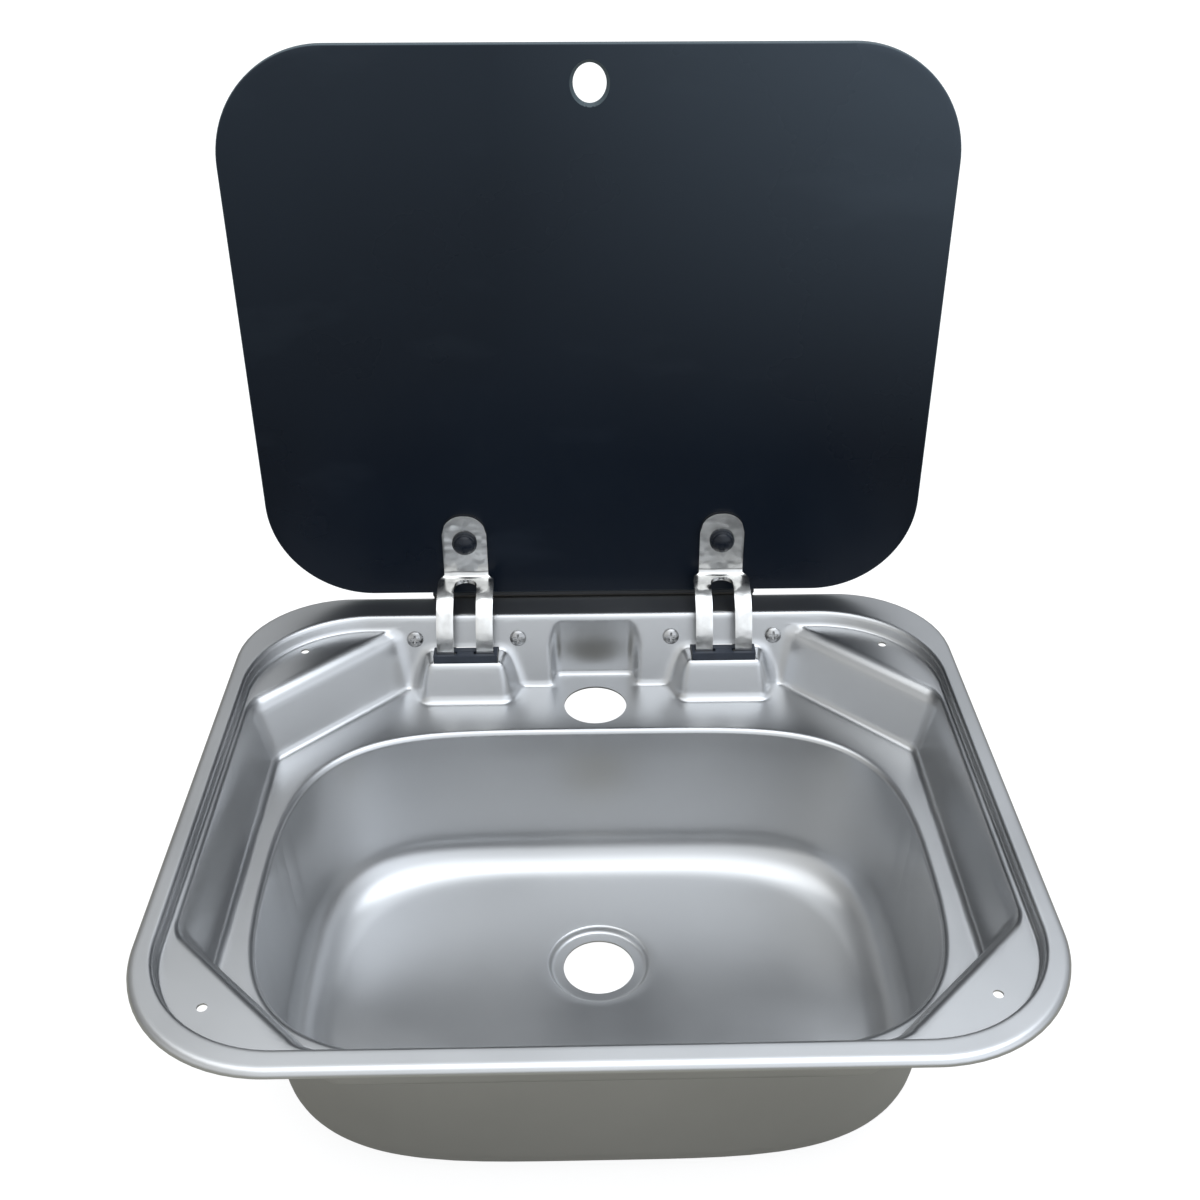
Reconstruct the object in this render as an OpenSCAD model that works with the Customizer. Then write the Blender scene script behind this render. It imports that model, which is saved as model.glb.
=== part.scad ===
// Pressed stainless sink with a hinged glass lid, drawn in millimetres.
// The origin is the centre of the flange, on its top face, with the front at -Y.

/* [Flange and lid opening] */
// Width of the flange
flange_w = 420; // [390:1:450]
// Depth of the flange, front to rear
flange_d = 365; // [345:1:390]
// Radius of the two front corners
front_corner_r = 73; // [66:1:80]
// Radius of the two rear corners
rear_corner_r = 61; // [55:1:70]
// Thickness of the steel sheet
sheet = 1; // [0.8:0.1:1.2]
// How far the outer edge turns down
edge_drop = 3.2; // [2:0.1:5]
// Width of the flat rim at each side
side_rim = 10.6; // [9:0.1:13]
// Width of the flat rim at the front
front_rim = 13.4; // [11:0.1:15]
// Width of the flat rim at the rear, over the hinge pins
rear_rim = 23.5; // [22:0.1:26]
// Corner radius of the lid opening
opening_r = 64; // [58:1:68]
// Depth of the ledges below the rim
ledge_depth = 8; // [7:0.1:10]

/* [Deck] */
// Depth of the deck below the rim
deck_depth = 42; // [38:0.5:46]
// Rear wall slope, as run over drop
rear_slope = 0.357; // [0.3:0.005:0.4]
// Diameter of the tap hole
tap_hole_d = 37.5; // [33:0.5:40]
// Distance of the tap hole from the rear edge of the opening
tap_hole_back = 35.3; // [32:0.1:38]
// Width of the pocket in the rear wall behind the tap
pocket_w = 54; // [46:1:60]
// Diameter of the four corner holes
corner_hole_d = 4.8; // [4:0.1:6]
// Spacing of the corner holes across the sink
corner_hole_x = 345.8; // [336:0.1:352]
// Spacing of the corner holes front to rear
corner_hole_y = 274.6; // [264:0.1:282]

/* [Bowl] */
// Width of the bowl at its mouth
bowl_w = 342; // [320:1:350]
// Depth of the bowl at its mouth, front to rear
bowl_d = 236; // [220:1:244]
// Gap from the bowl mouth to the rear edge of the opening
bowl_back = 62; // [58:0.5:70]
// Height of the sink from the rim to the lowest point
total_h = 144.5; // [130:0.5:160]
// Radius between the bowl wall and its floor
floor_r = 23; // [16:0.5:28]
// Diameter of the drain opening
drain_hole_d = 40.5; // [36:0.5:44]
// Diameter of the seat round the drain
drain_seat_d = 56; // [52:0.5:62]
// Depth of the drain seat
drain_seat_h = 4.5; // [3:0.1:6]
// Distance of the drain from the bowl mouth at the rear
drain_back = 89; // [78:0.5:96]

/* [Glass lid] */
// Thickness of the glass
glass_t = 5; // [4:0.5:6]
// Gap between the glass and the opening at each side
glass_gap = 3.2; // [2:0.1:4]
// Gap between the glass and the opening at the front
glass_front_gap = 1.5; // [1.4:0.1:3]
// Gap between the glass and the opening at the rear, which the seal covers
glass_rear_gap = 5.4; // [5:0.1:6]
// How far the glass lies below the rim when shut
glass_drop = 0.3; // [0.2:0.1:0.8]
// Diameter of the finger hole
finger_hole_d = 18.5; // [17:0.5:22]
// Distance of the finger hole from the front edge of the glass
finger_hole_in = 19.5; // [18:0.5:24]
// Gap between the open glass and the flange below it
stand_z = 3.2; // [2.8:0.1:3.6]
// Angle from shut to open
open_angle = 91; // [89:0.5:91]
// Length of the seal along the rear edge of the glass
seal_w = 200; // [180:1:230]

/* [Hinges] */
// Distance of each hinge from the centre line
hinge_x = 78.2; // [74:0.1:84]
// Thickness of the arm strip
arm_t = 2.5; // [2:0.1:2.8]
// Width of the arm over its two legs
arm_w = 33.8; // [32:0.1:35]
// Width of the slot between the legs
arm_slot_w = 13.6; // [12:0.1:15]
// Middle radius of the arm's bow round the pin
arm_bow_r = 30.2; // [29.8:0.1:30.6]
// Width of the tab under the glass
tab_w = 26.8; // [25:0.1:29]
// Length of the tab under the glass
tab_len = 37.4; // [34:0.1:41]
// Radius of the tab's outer corners
tab_r = 9.5; // [7:0.5:12]
// Distance of the lid bolt from the bend of the arm
bolt_in = 19.3; // [17:0.1:22]
// Radius of the hinge pin
pin_r = 3.95; // [3.7:0.05:4.1]
// Running clearance round the pin
pin_fit = 0.05; // [0.03:0.01:0.08]
// Clearance beside moving parts
run_gap = 0.35; // [0.3:0.05:0.4]
// Width of the plastic bracket block
bracket_w = 38.4; // [38:0.2:42]
// Spacing of the two screws of each bracket
bracket_screw_x = 62.8; // [60:0.2:65]
// Depth of the bracket screws below the rim
bracket_screw_z = 13.1; // [12:0.1:14]

/* [Fasteners] */
// Radius of the lid bolt shank
bolt_r = 3; // [2.5:0.1:3.2]
// Radius of the lid bolt head
bolt_head_r = 9; // [7:0.5:11]
// Radius of the black cap nut
cap_r = 7.5; // [6.5:0.1:8.5]
// Radius of the pan head of the bracket screws
pan_r = 4.9; // [4:0.1:5.2]
// Radius of the bracket screw shank
screw_r = 2; // [1.7:0.1:2.2]

/* [Hidden] */
// Arc steps and general roundness
$fn = 64;
arc_n = 12;
eps = 0.02;
cut = 6;

// Lid opening
open_front = -flange_d / 2 + front_rim;
open_rear = flange_d / 2 - rear_rim;
open_hx = flange_w / 2 - side_rim;
edge_round = 3.5;
rim_round = 2.5;
ledge_round = 2;
ledge_w = 5;
corner_y0 = -2.5;

// Deck outline vectors: half width, front line, front chord, rear chord
deck_top_z = -ledge_depth;
deck_sh_z = -ledge_depth - 4;
deck_z = -deck_depth;
deck_foot = 3;
screw_room = 13.4;
chord_front = open_hx + 95.1;
chord_rear = open_rear + hinge_x + bracket_screw_x / 2 + screw_room;
side_slope = 0.2;
top_vec = [open_hx - ledge_w, open_front + ledge_w + 0.4, chord_front, chord_rear];
sh_vec = [open_hx - ledge_w - 3.9, open_front + ledge_w + 3.4, chord_front - 11, chord_rear - 8];
low_vec = [
    sh_vec[0] - side_slope * (deck_sh_z - deck_z),
    sh_vec[1] + side_slope * (deck_sh_z - deck_z),
    chord_front - 22,
    chord_rear - 24
];
deck_vertex_r = 12;
wall_vertex_r = 8;

// Tap pocket and hinge bosses
pocket_y = open_rear - 2.5;
pocket_draft = 1.5;
pocket_r = 6;
boss_top = -19.4;
boss_front_top = open_rear - 25;
boss_front_low = open_rear - 31.4;
boss_vertex_r = 3.5;
boss_back = 8;
boss_edge_h = 0.8;
boss_shoulder_h = 2.5;
boss_roof_half = [20.9, 25.1];
boss_edge_half = [22.2, 26.6];
boss_side_half = [22.9, 27.8];
boss_foot_half = [25.8, 46.5];

// Bowl
bowl_rear = open_rear - bowl_back;
bowl_yc = bowl_rear - bowl_d / 2;
bowl_lip = 3.5;
floor_z = -total_h + drain_seat_h;
wall_draft = 0.055;
front_draft = 0.072;
rear_draft = 0.005;
floor_dish = 1.2;
drain_y = bowl_rear - drain_back;
tap_y = open_rear - tap_hole_back;

// Glass, shut
glass_hx = open_hx - glass_gap;
glass_front = open_front + glass_front_gap;
glass_rear = open_rear - glass_rear_gap;
glass_top_z = -glass_drop;
glass_low_z = glass_top_z - glass_t;
glass_r = opening_r - glass_gap;

// Hinge pin axis, from the shut and open places of the glass
stand_y = flange_d / 2 - 1.4;
pin_y = (stand_y - glass_low_z + stand_z + glass_rear) / 2;
pin_z = (stand_z + glass_rear - stand_y + glass_low_z) / 2;

// Arm, about the pin axis, lid shut
pad_t = 0.8;
tab_top = glass_low_z - pad_t - pin_z;
tab_mid = tab_top - arm_t / 2;
bow_in = arm_bow_r - arm_t / 2;
bow_out = arm_bow_r + arm_t / 2;
bend_r = 5.5;
heel_r = 3;
shoulder_h = 4.5;
eye_r = pin_r + pin_fit + arm_t;
leg_u = pin_r + pin_fit + arm_t / 2;
leg_in = arm_slot_w / 2;
leg_out = arm_w / 2;
slot_end = 2.6;
tab_start = -arm_bow_r - bend_r;
bolt_u = tab_start - bolt_in;
bolt_y = pin_y + bolt_u;

// Bracket
cheek_in = leg_out + run_gap;
cheek_out = bracket_w / 2;
lip_t = 2.3;
block_front = pin_y - bow_out - run_gap - lip_t;
block_rear = block_front + 9.3;
stop_z = pin_z - pin_r - pin_fit + bow_in * sin(open_angle - 90) + run_gap;
block_top = stop_z + 3.1;
bracket_low = -24.5;
bracket_top = -3.4;
bracket_back = pin_y + eye_r - 0.4;
roof_t = 2.4;
wall_gap = 0.3;
seat_gap = 0.04;
slot_z = -17.9;
stop_nose = pin_y - bow_in + heel_r;
nose_bevel = 2;
wall_a = atan(rear_slope);
wing_end = 7;
wing_up = 9.5;
wing_down = 9;
wing_t = 3.5;
screw_boss_r = 4.4;
screw_boss_h = 11;
skin = sheet * cos(wall_a) + seat_gap;
cut_gap = 0.4;

// Pin and clips
clip_t = 0.8;
clip_at = cheek_out + 0.3;
clip_r = 6.4;
clip_mouth = 0.8;
groove_r = pin_r - 0.75;
pin_half = clip_at + clip_t + 1.7;

// Bolt, sleeve and nut
seal_t = 0.4;
glass_hole_r = bolt_r + 2;
head_t = 1.4;
head_bevel = 1.2;
bolt_end = 4.6;
nut_z = tab_top - arm_t + pin_z;
nut_h = 7.2;
nut_side = 3;
nut_bore = 4.8;
dome_h = nut_h - nut_side;
dome_r = (cap_r * cap_r + dome_h * dome_h) / (2 * dome_h);

// Pan head and its cross recess
pan_side = 1.3;
pan_h = 3.1;
pan_dome_r = 8.6;
cross_w = 1.1;
cross_l = 5;
cross_d = 1.7;

// Seal on the rear edge of the glass: it keeps clear of the rim as the lid turns
seal_clear_r = 18.65;
seal_tip_y = open_rear - 0.1;
seal_top = glass_top_z - 0.1;
edge_bevel = 1.4;

// Rear wall line: y of the inner face at height z
function rear_y(z) = open_rear + rear_slope * z;

// Linear mix of two numbers or vectors
function mix(a, b, t) = a + (b - a) * t;

// Corner rounding of a convex outline, n steps for each corner
function arc_corner(p, v, q, r, n) =
    let(
        a = (p - v) / norm(p - v),
        b = (q - v) / norm(q - v),
        half = acos(a * b) / 2,
        c = v + (a + b) / norm(a + b) * r / sin(half),
        s = v + a * r / tan(half) - c,
        turn = 180 - 2 * half
    )
    [for (i = [0:n])
        let(t = turn * i / n)
        c + [s[0] * cos(t) - s[1] * sin(t), s[0] * sin(t) + s[1] * cos(t)]];
function round_outline(pts, radii, n) =
    let(k = len(pts))
    [for (i = [0:k - 1]) each arc_corner(pts[(i + k - 1) % k], pts[i], pts[(i + 1) % k], radii[i], n)];

// Rounded rectangle between a front and a rear line
function frame_ring(hx, yf, yr, rf, rr) =
    round_outline([[hx, yf], [hx, yr], [-hx, yr], [-hx, yf]], [rf, rr, rr, rf], arc_n);

// Eight sided deck outline with chords across the corners
function deck_ring(v, z, g) =
    let(
        hx = v[0] + g,
        yf = v[1] - g,
        yr = rear_y(z) + g,
        cf = v[2] + g * sqrt(2),
        cr = v[3] + g * sqrt(2)
    )
    round_outline(
        [[hx, hx - cf], [hx, cr - hx], [cr - yr, yr], [yr - cr, yr],
         [-hx, cr - hx], [-hx, hx - cf], [-cf - yf, yf], [cf + yf, yf]],
        [for (i = [0:7]) (i == 2 || i == 3) ? wall_vertex_r : deck_vertex_r], 3
    );

// Bowl outline: flat sides that run into large corners
function bowl_ring(a, b, lean, n, m, count) =
    [for (i = [0:count - 1])
        let(t = 360 * i / count, c = cos(t), s = sin(t))
        [a * sign(c) * pow(abs(c), 2 / n), bowl_yc + lean + b * sign(s) * pow(abs(s), 2 / m)]];

function at_z(ring, z) = [for (p = ring) [p[0], p[1], z]];

// Solid through rings of equal length, given from the lowest to the highest
module loft(rings) {
    n = len(rings[0]);
    k = len(rings);
    polyhedron(
        points = [for (r = rings) each r],
        faces = concat(
            [[for (i = [0:n - 1]) i]],
            [for (j = [0:k - 2], i = [0:n - 1]) [j * n + i, (j + 1) * n + i, (j + 1) * n + (i + 1) % n]],
            [for (j = [0:k - 2], i = [0:n - 1]) [j * n + i, (j + 1) * n + (i + 1) % n, j * n + (i + 1) % n]],
            [[for (i = [n - 1:-1:0]) (k - 1) * n + i]]
        ),
        convexity = 8
    );
}

// Plate outline moved in by e
function flange_ring(e) = frame_ring(
    flange_w / 2 - e, -flange_d / 2 + e, flange_d / 2 - e, front_corner_r - e, rear_corner_r - e
);

// Flange: a flat plate whose edge rolls down, open underneath
module flange() {
    turns = [90:-22.5:0];
    difference() {
        loft([for (t = turns) at_z(
            flange_ring(edge_round * (1 - sin(t))), -edge_drop * (1 - cos(t))
        )]);
        loft(concat(
            [at_z(flange_ring(sheet), -edge_drop - 1)],
            [for (t = turns) at_z(
                flange_ring(sheet + (edge_round - sheet) * (1 - sin(t))),
                -sheet - (edge_drop - sheet) * (1 - cos(t))
            )]
        ));
    }
}

// Opening outline at height z, moved out by g
function opening_ring(z, g) =
    frame_ring(open_hx + g, open_front - g, rear_y(z) + g, opening_r + g, opening_r + g);

// Shallow recess that the glass lies in
module recess_form(g) {
    foot = -ledge_depth - g;
    loft(concat(
        [for (t = [0:30:90]) at_z(
            opening_ring(foot + ledge_round * (1 - cos(t)), g - ledge_round * (1 - sin(t))),
            foot + ledge_round * (1 - cos(t))
        )],
        [for (t = [0:30:90]) at_z(
            opening_ring(-rim_round * (1 - sin(t)) - g, g + (rim_round - g) * (1 - cos(t))),
            -rim_round * (1 - sin(t)) - g
        )],
        [at_z(opening_ring(-g, max(rim_round, g)), 1 - 1.5 * g)]
    ));
}

// Deck well with sloping walls and chords across its corners
function deck_at(z) = mix(sh_vec, low_vec, (z - deck_sh_z) / (deck_z - deck_sh_z));
module deck_form(g) {
    foot = deck_z - g;
    loft(concat(
        [for (t = [0:30:90])
            let(z = foot + deck_foot * (1 - cos(t)))
            at_z(deck_ring(deck_at(z), z, g - deck_foot * (1 - sin(t))), z)],
        [for (t = [90:-30:0])
            let(z = mix(deck_top_z, deck_sh_z, 1 - cos(t)))
            at_z(deck_ring(mix(top_vec, sh_vec, sin(t)), z, g), z)],
        [at_z(deck_ring(top_vec, deck_top_z + 3, g), deck_top_z + 3)]
    ));
}

// Bowl with a rounded lip, slightly drafted walls and a dished floor
module bowl_form(g) {
    a = bowl_w / 2 + g;
    b = bowl_d / 2 + g;
    lip_z = deck_z - bowl_lip;
    low = floor_z - g;
    turn_z = low + floor_r + floor_dish;
    drop = lip_z - turn_z;
    lean = (front_draft - rear_draft) / 2 * drop;
    foot_a = a - wall_draft * drop;
    foot_b = b - (front_draft + rear_draft) / 2 * drop;
    loft(concat(
        [at_z(bowl_ring(foot_a * 0.35, foot_b * 0.35, lean, 2.6, 2.3, 56), low)],
        [for (t = [0:18:90])
            let(inset = floor_r * (1 - sin(t)), n = mix(3.7, 4.4, t / 90), m = mix(2.6, 2.85, t / 90))
            at_z(bowl_ring(foot_a - inset, foot_b - inset, lean, n, m, 56), turn_z - floor_r * cos(t))],
        [for (t = [0:30:90])
            let(out = bowl_lip * (1 - cos(t)))
            at_z(bowl_ring(a + out, b + out, 0, 4.76, 2.92, 56), lip_z + bowl_lip * sin(t))],
        [at_z(bowl_ring(a + bowl_lip, b + bowl_lip, 0, 4.76, 2.92, 56), deck_z + 0.5)]
    ));
}

// Steep notch in the rear wall that clears the foot of a tap
function pocket_ring(half, yr) =
    round_outline(
        [[half, boss_front_top], [half, yr], [-half, yr], [-half, boss_front_top]],
        [1, pocket_r, pocket_r, 1], 5
    );
module pocket_form(g) {
    loft([
        at_z(pocket_ring(pocket_w / 2 - pocket_draft + g, pocket_y + g), deck_z - g),
        at_z(pocket_ring(pocket_w / 2 + g, open_rear - 1.2 + g), -rim_round - g)
    ]);
}

// Raised pad in the rear wall over a hinge bracket
function boss_ring(half, g, yf) =
    let(xf = half[0] - g, xr = half[1] - g, yr = open_rear + boss_back)
    round_outline([[xf, yf], [xr, yr], [-xr, yr], [-xf, yf]], [boss_vertex_r, 1, 1, boss_vertex_r], 4);
module boss_form(g) {
    top = boss_top - g;
    loft([
        at_z(boss_ring(boss_foot_half, g, boss_front_low + g - 0.6), deck_z - 3),
        at_z(boss_ring(boss_side_half, g, boss_front_top + g - 0.4), top - boss_shoulder_h),
        at_z(boss_ring(boss_edge_half, g, boss_front_top + g + 0.3), top - boss_edge_h),
        at_z(boss_ring(boss_roof_half, g, boss_front_top + g + 2), top)
    ]);
}

module both_sides(x) {
    for (s = [-1, 1]) translate([s * x, 0, 0]) children();
}

// Local frame on the rear wall: +Z points out of the wall into the well
module on_rear_wall(x, z) {
    translate([x, rear_y(z), z]) rotate([90 - wall_a, 0, 0]) children();
}

// Screw, tap and drain holes and the two openings for the hinge blocks
module shell_holes() {
    for (x = [-1, 1], y = [-1, 1])
        translate([x * corner_hole_x / 2, corner_y0 + y * corner_hole_y / 2, -ledge_depth - cut])
            cylinder(d = corner_hole_d, h = 2 * cut);
    translate([0, tap_y, deck_z - cut]) cylinder(d = tap_hole_d, h = 2 * cut);
    translate([0, drain_y, -total_h - cut]) cylinder(d = drain_hole_d, h = 2 * cut);
    both_sides(hinge_x) {
        slot_l = rear_y(slot_z) + 2 * sheet - block_front + cut_gap;
        translate([-bracket_w / 2 - cut_gap, block_front - cut_gap, boss_top - cut])
            cube([bracket_w + 2 * cut_gap, slot_l, slot_z - boss_top + cut]);
        for (s = [-1, 1])
            on_rear_wall(s * bracket_screw_x / 2, -bracket_screw_z)
                translate([0, 0, -cut]) cylinder(r = screw_r + cut_gap, h = 2 * cut);
    }
}

module drain_seat(g) {
    translate([0, drain_y, -total_h + (sheet - g)]) cylinder(d = drain_seat_d + 2 * g, h = drain_seat_h + 3);
}

module sink_shell() {
    color([0.74, 0.75, 0.76])
    difference() {
        union() {
            flange();
            difference() {
                union() {
                    recess_form(sheet);
                    deck_form(sheet);
                    bowl_form(sheet);
                    pocket_form(sheet);
                    drain_seat(sheet);
                }
                both_sides(hinge_x) boss_form(sheet);
            }
        }
        difference() {
            union() {
                recess_form(0);
                deck_form(0);
                bowl_form(0);
                pocket_form(0);
                drain_seat(0);
            }
            both_sides(hinge_x) boss_form(0);
        }
        shell_holes();
    }
}

// Lid parts are drawn shut and then turned back to the open rest place
module lid_open() {
    translate([0, pin_y, pin_z]) rotate([-open_angle, 0, 0]) translate([0, -pin_y, -pin_z]) children();
}

// Profiles about the pin axis: u runs to the rear, w runs up
module on_pin(x, half) {
    translate([x - half, pin_y, pin_z]) rotate([90, 0, 90]) linear_extrude(height = 2 * half) children();
}

// Quarter of a flat ring, from angle a to a + 90
module ring_quarter(r, t, a) {
    rotate([0, 0, a]) difference() {
        intersection() {
            circle(r = r + t / 2, $fn = 128);
            square(r + t);
        }
        circle(r = r - t / 2, $fn = 128);
    }
}

module glass_lid() {
    color([0.16, 0.2, 0.25, 0.75])
    lid_open() difference() {
        translate([0, (glass_front + glass_rear) / 2, glass_low_z])
            linear_extrude(height = glass_t)
            glass_outline(glass_hx, (glass_rear - glass_front) / 2, glass_r);
        translate([0, glass_front + finger_hole_in, glass_low_z - 1])
            cylinder(d = finger_hole_d, h = glass_t + 2);
        for (z = [[glass_low_z - eps, 0], [glass_top_z + eps, 180]])
            translate([0, glass_front + finger_hole_in, z[0]]) rotate([z[1], 0, 0])
                cylinder(r1 = finger_hole_d / 2 + edge_bevel, r2 = finger_hole_d / 2, h = edge_bevel);
        both_sides(hinge_x) translate([0, bolt_y, glass_low_z - 1])
            cylinder(r = glass_hole_r, h = glass_t + 2);
    }
}
module glass_outline(hx, hy, r) {
    square([2 * hx - 2 * r, 2 * hy], center = true);
    square([2 * hx, 2 * hy - 2 * r], center = true);
    for (x = [-1, 1], y = [-1, 1]) translate([x * (hx - r), y * (hy - r)]) circle(r = r, $fn = 128);
}

// Outline of the tab, from the bend of the arm forward
module tab_outline() {
    difference() {
        union() {
            translate([-tab_w / 2, tab_start - tab_len + tab_r]) square([tab_w, tab_len - tab_r]);
            translate([-tab_w / 2 + tab_r, tab_start - tab_len]) square([tab_w - 2 * tab_r, tab_len]);
            for (x = [-1, 1])
                translate([x * (tab_w / 2 - tab_r), tab_start - tab_len + tab_r]) circle(r = tab_r);
        }
        translate([0, bolt_u]) circle(r = bolt_r + 0.2);
    }
}

// Bowed part of the arm strip, from the tab bend to the eye
module arm_strip() {
    translate([tab_start, tab_mid - bend_r]) ring_quarter(bend_r, arm_t, 0);
    translate([-bow_out, -eps]) square([arm_t, tab_mid - bend_r + 2 * eps]);
    ring_quarter(arm_bow_r, arm_t, 180);
    translate([-eps, -bow_out]) square([leg_u - heel_r + 2 * eps, arm_t]);
    translate([leg_u - heel_r, -arm_bow_r + heel_r]) ring_quarter(heel_r, arm_t, 270);
    translate([pin_r + pin_fit, -arm_bow_r + heel_r - eps]) square([arm_t, arm_bow_r - heel_r + eps]);
    difference() {
        circle(r = eye_r);
        circle(r = eye_r - arm_t + eps);
    }
}

// Front view of the arm: full width below, tab width above the shoulders
module shoulder_outline() {
    for (s = [-1, 1]) scale([s, 1])
        polygon([
            [-eps, -2 * arm_bow_r],
            [leg_out + eps, -2 * arm_bow_r],
            [leg_out + eps, 0],
            [tab_w / 2, shoulder_h],
            [tab_w / 2, arm_bow_r],
            [-eps, arm_bow_r]
        ]);
}

module hinge_arm(x) {
    color([0.86, 0.87, 0.88])
    lid_open() difference() {
        union() {
            intersection() {
                on_pin(x, arm_w / 2) arm_strip();
                translate([x, pin_y + arm_w, pin_z]) rotate([90, 0, 0])
                    linear_extrude(height = 3 * arm_w) shoulder_outline();
            }
            translate([x, pin_y, pin_z + tab_top - arm_t]) linear_extrude(height = arm_t) tab_outline();
        }
        on_pin(x, leg_in) {
            translate([-1.2 * bow_out, -2 * bow_out]) square([2 * bow_out, 2 * bow_out - leg_in + slot_end]);
            translate([-2 * eye_r, -2 * eye_r]) square(4 * eye_r);
        }
        translate([x, pin_y - bow_out / 2, pin_z + slot_end - leg_in]) rotate([90, 0, 0])
            cylinder(r = leg_in, h = bow_out);
        translate([x - arm_w, pin_y, pin_z]) rotate([0, 90, 0]) cylinder(r = pin_r + pin_fit, h = 2 * arm_w);
    }
}

// Side view of a bracket cheek, kept clear of the rear wall and the boss
module cheek_outline() {
    neck = slot_z - cut_gap - wall_gap;
    polygon([
        [block_front, bracket_low],
        [block_front, block_top],
        [block_rear, block_top],
        [block_rear, neck],
        [rear_y(neck) + sheet + wall_gap, neck],
        [rear_y(bracket_top) + sheet + wall_gap, bracket_top],
        [bracket_back, bracket_top],
        [bracket_back, pin_z - pin_r],
        [pin_y, bracket_low]
    ]);
}

// Front block that shows through the boss, with the slot the legs swing in
module block_outline() {
    difference() {
        polygon([
            [block_front, bracket_low],
            [block_front, block_top],
            [block_rear, block_top],
            [block_rear, stop_z],
            [stop_nose, stop_z],
            [stop_nose - nose_bevel, stop_z + nose_bevel],
            [block_front + lip_t, stop_z + nose_bevel],
            [block_front + lip_t, bracket_low]
        ]);
        translate([pin_y, pin_z]) {
            difference() {
                circle(r = bow_out + run_gap, $fn = 128);
                circle(r = bow_in - run_gap, $fn = 128);
            }
            translate([-bow_out - run_gap, 0]) square([arm_t + 2 * run_gap, bow_out]);
        }
    }
}

module across(x, half) {
    translate([x - half, 0, 0]) rotate([90, 0, 90]) linear_extrude(height = 2 * half) children();
}

module hinge_bracket(x) {
    roof_y = rear_y(bracket_top) + 2 * sheet;
    wing_l = bracket_screw_x / 2 - cheek_in;
    color([0.09, 0.11, 0.15])
    difference() {
        union() {
            for (s = [-1, 1])
                across(x + s * (cheek_in + cheek_out) / 2, (cheek_out - cheek_in) / 2) cheek_outline();
            across(x, cheek_in + eps) block_outline();
            translate([x - cheek_out, roof_y, bracket_top - roof_t])
                cube([bracket_w, bracket_back - roof_y, roof_t]);
            for (s = [-1, 1]) on_rear_wall(x + s * bracket_screw_x / 2, -bracket_screw_z) {
                translate([s > 0 ? -wing_l : -wing_end, -wing_down, -skin - wing_t])
                    cube([wing_l + wing_end, wing_down + wing_up, wing_t]);
                translate([0, 0, -skin - screw_boss_h]) cylinder(r = screw_boss_r, h = screw_boss_h);
            }
        }
        translate([x - bracket_w, pin_y, pin_z]) rotate([0, 90, 0])
            cylinder(r = pin_r + pin_fit, h = 2 * bracket_w);
        for (s = [-1, 1]) on_rear_wall(x + s * bracket_screw_x / 2, -bracket_screw_z)
            translate([0, 0, -skin - screw_boss_h - 1]) cylinder(r = screw_r, h = screw_boss_h + 3);
    }
}

module hinge_pin(x) {
    color([0.6, 0.61, 0.63])
    translate([x, pin_y, pin_z]) rotate([0, 90, 0]) {
        difference() {
            cylinder(r = pin_r, h = 2 * pin_half, center = true);
            for (s = [-1, 1]) translate([0, 0, s * (clip_at + clip_t / 2)]) difference() {
                cylinder(r = pin_r + 1, h = clip_t + 0.1, center = true);
                cylinder(r = groove_r, h = clip_t + 1, center = true);
            }
        }
    }
}

module pin_clips(x) {
    color([0.3, 0.31, 0.33])
    for (s = [-1, 1])
        translate([x + s * (clip_at + clip_t / 2), pin_y, pin_z]) rotate([0, 90, 0]) difference() {
            cylinder(r = clip_r, h = clip_t, center = true);
            cylinder(r = groove_r + 0.05, h = clip_t + 1, center = true);
            translate([0, clip_r, 0])
                cube([2 * groove_r * clip_mouth, 2 * clip_r, clip_t + 1], center = true);
        }
}

module spacer_bush(x) {
    color([0.85, 0.85, 0.82])
    translate([x, pin_y, pin_z]) rotate([0, 90, 0]) difference() {
        cylinder(r = eye_r - 0.6, h = 2 * (leg_in - run_gap), center = true);
        cylinder(r = pin_r + pin_fit, h = arm_w, center = true);
    }
}

module bracket_screws(x) {
    color([0.8, 0.81, 0.82])
    for (s = [-1, 1]) on_rear_wall(x + s * bracket_screw_x / 2, -bracket_screw_z) difference() {
        union() {
            translate([0, 0, 1 - skin - screw_boss_h]) cylinder(r = screw_r - 0.03, h = skin + screw_boss_h);
            cylinder(r = pan_r, h = pan_side);
            intersection() {
                translate([0, 0, pan_side - eps]) cylinder(r = pan_r, h = pan_h);
                translate([0, 0, pan_h - pan_dome_r]) sphere(r = pan_dome_r);
            }
        }
        for (a = [0, 90]) rotate([0, 0, a]) translate([0, 0, pan_h])
            cube([cross_l, cross_w, 2 * cross_d], center = true);
    }
}

module lid_bolt(x) {
    base = glass_top_z + seal_t;
    color([0.8, 0.81, 0.82])
    lid_open() translate([x, bolt_y, 0]) {
        translate([0, 0, nut_z - bolt_end]) cylinder(r = bolt_r, h = base - nut_z + bolt_end + head_t / 2);
        translate([0, 0, base]) cylinder(r1 = bolt_head_r, r2 = bolt_head_r - head_bevel, h = head_t);
    }
}

module bolt_sleeve(x) {
    color([0.08, 0.08, 0.09])
    lid_open() translate([x, bolt_y, 0]) difference() {
        union() {
            translate([0, 0, glass_low_z]) cylinder(r = glass_hole_r - 0.05, h = glass_t + eps);
            translate([0, 0, glass_top_z]) cylinder(r = bolt_head_r - head_bevel / 2, h = seal_t);
        }
        translate([0, 0, glass_low_z - 1]) cylinder(r = bolt_r + 0.05, h = glass_t + 4);
    }
}

module tab_pad(x) {
    color([0.06, 0.06, 0.07])
    lid_open() translate([x, pin_y, pin_z + tab_top]) linear_extrude(height = pad_t) tab_outline();
}

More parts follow.
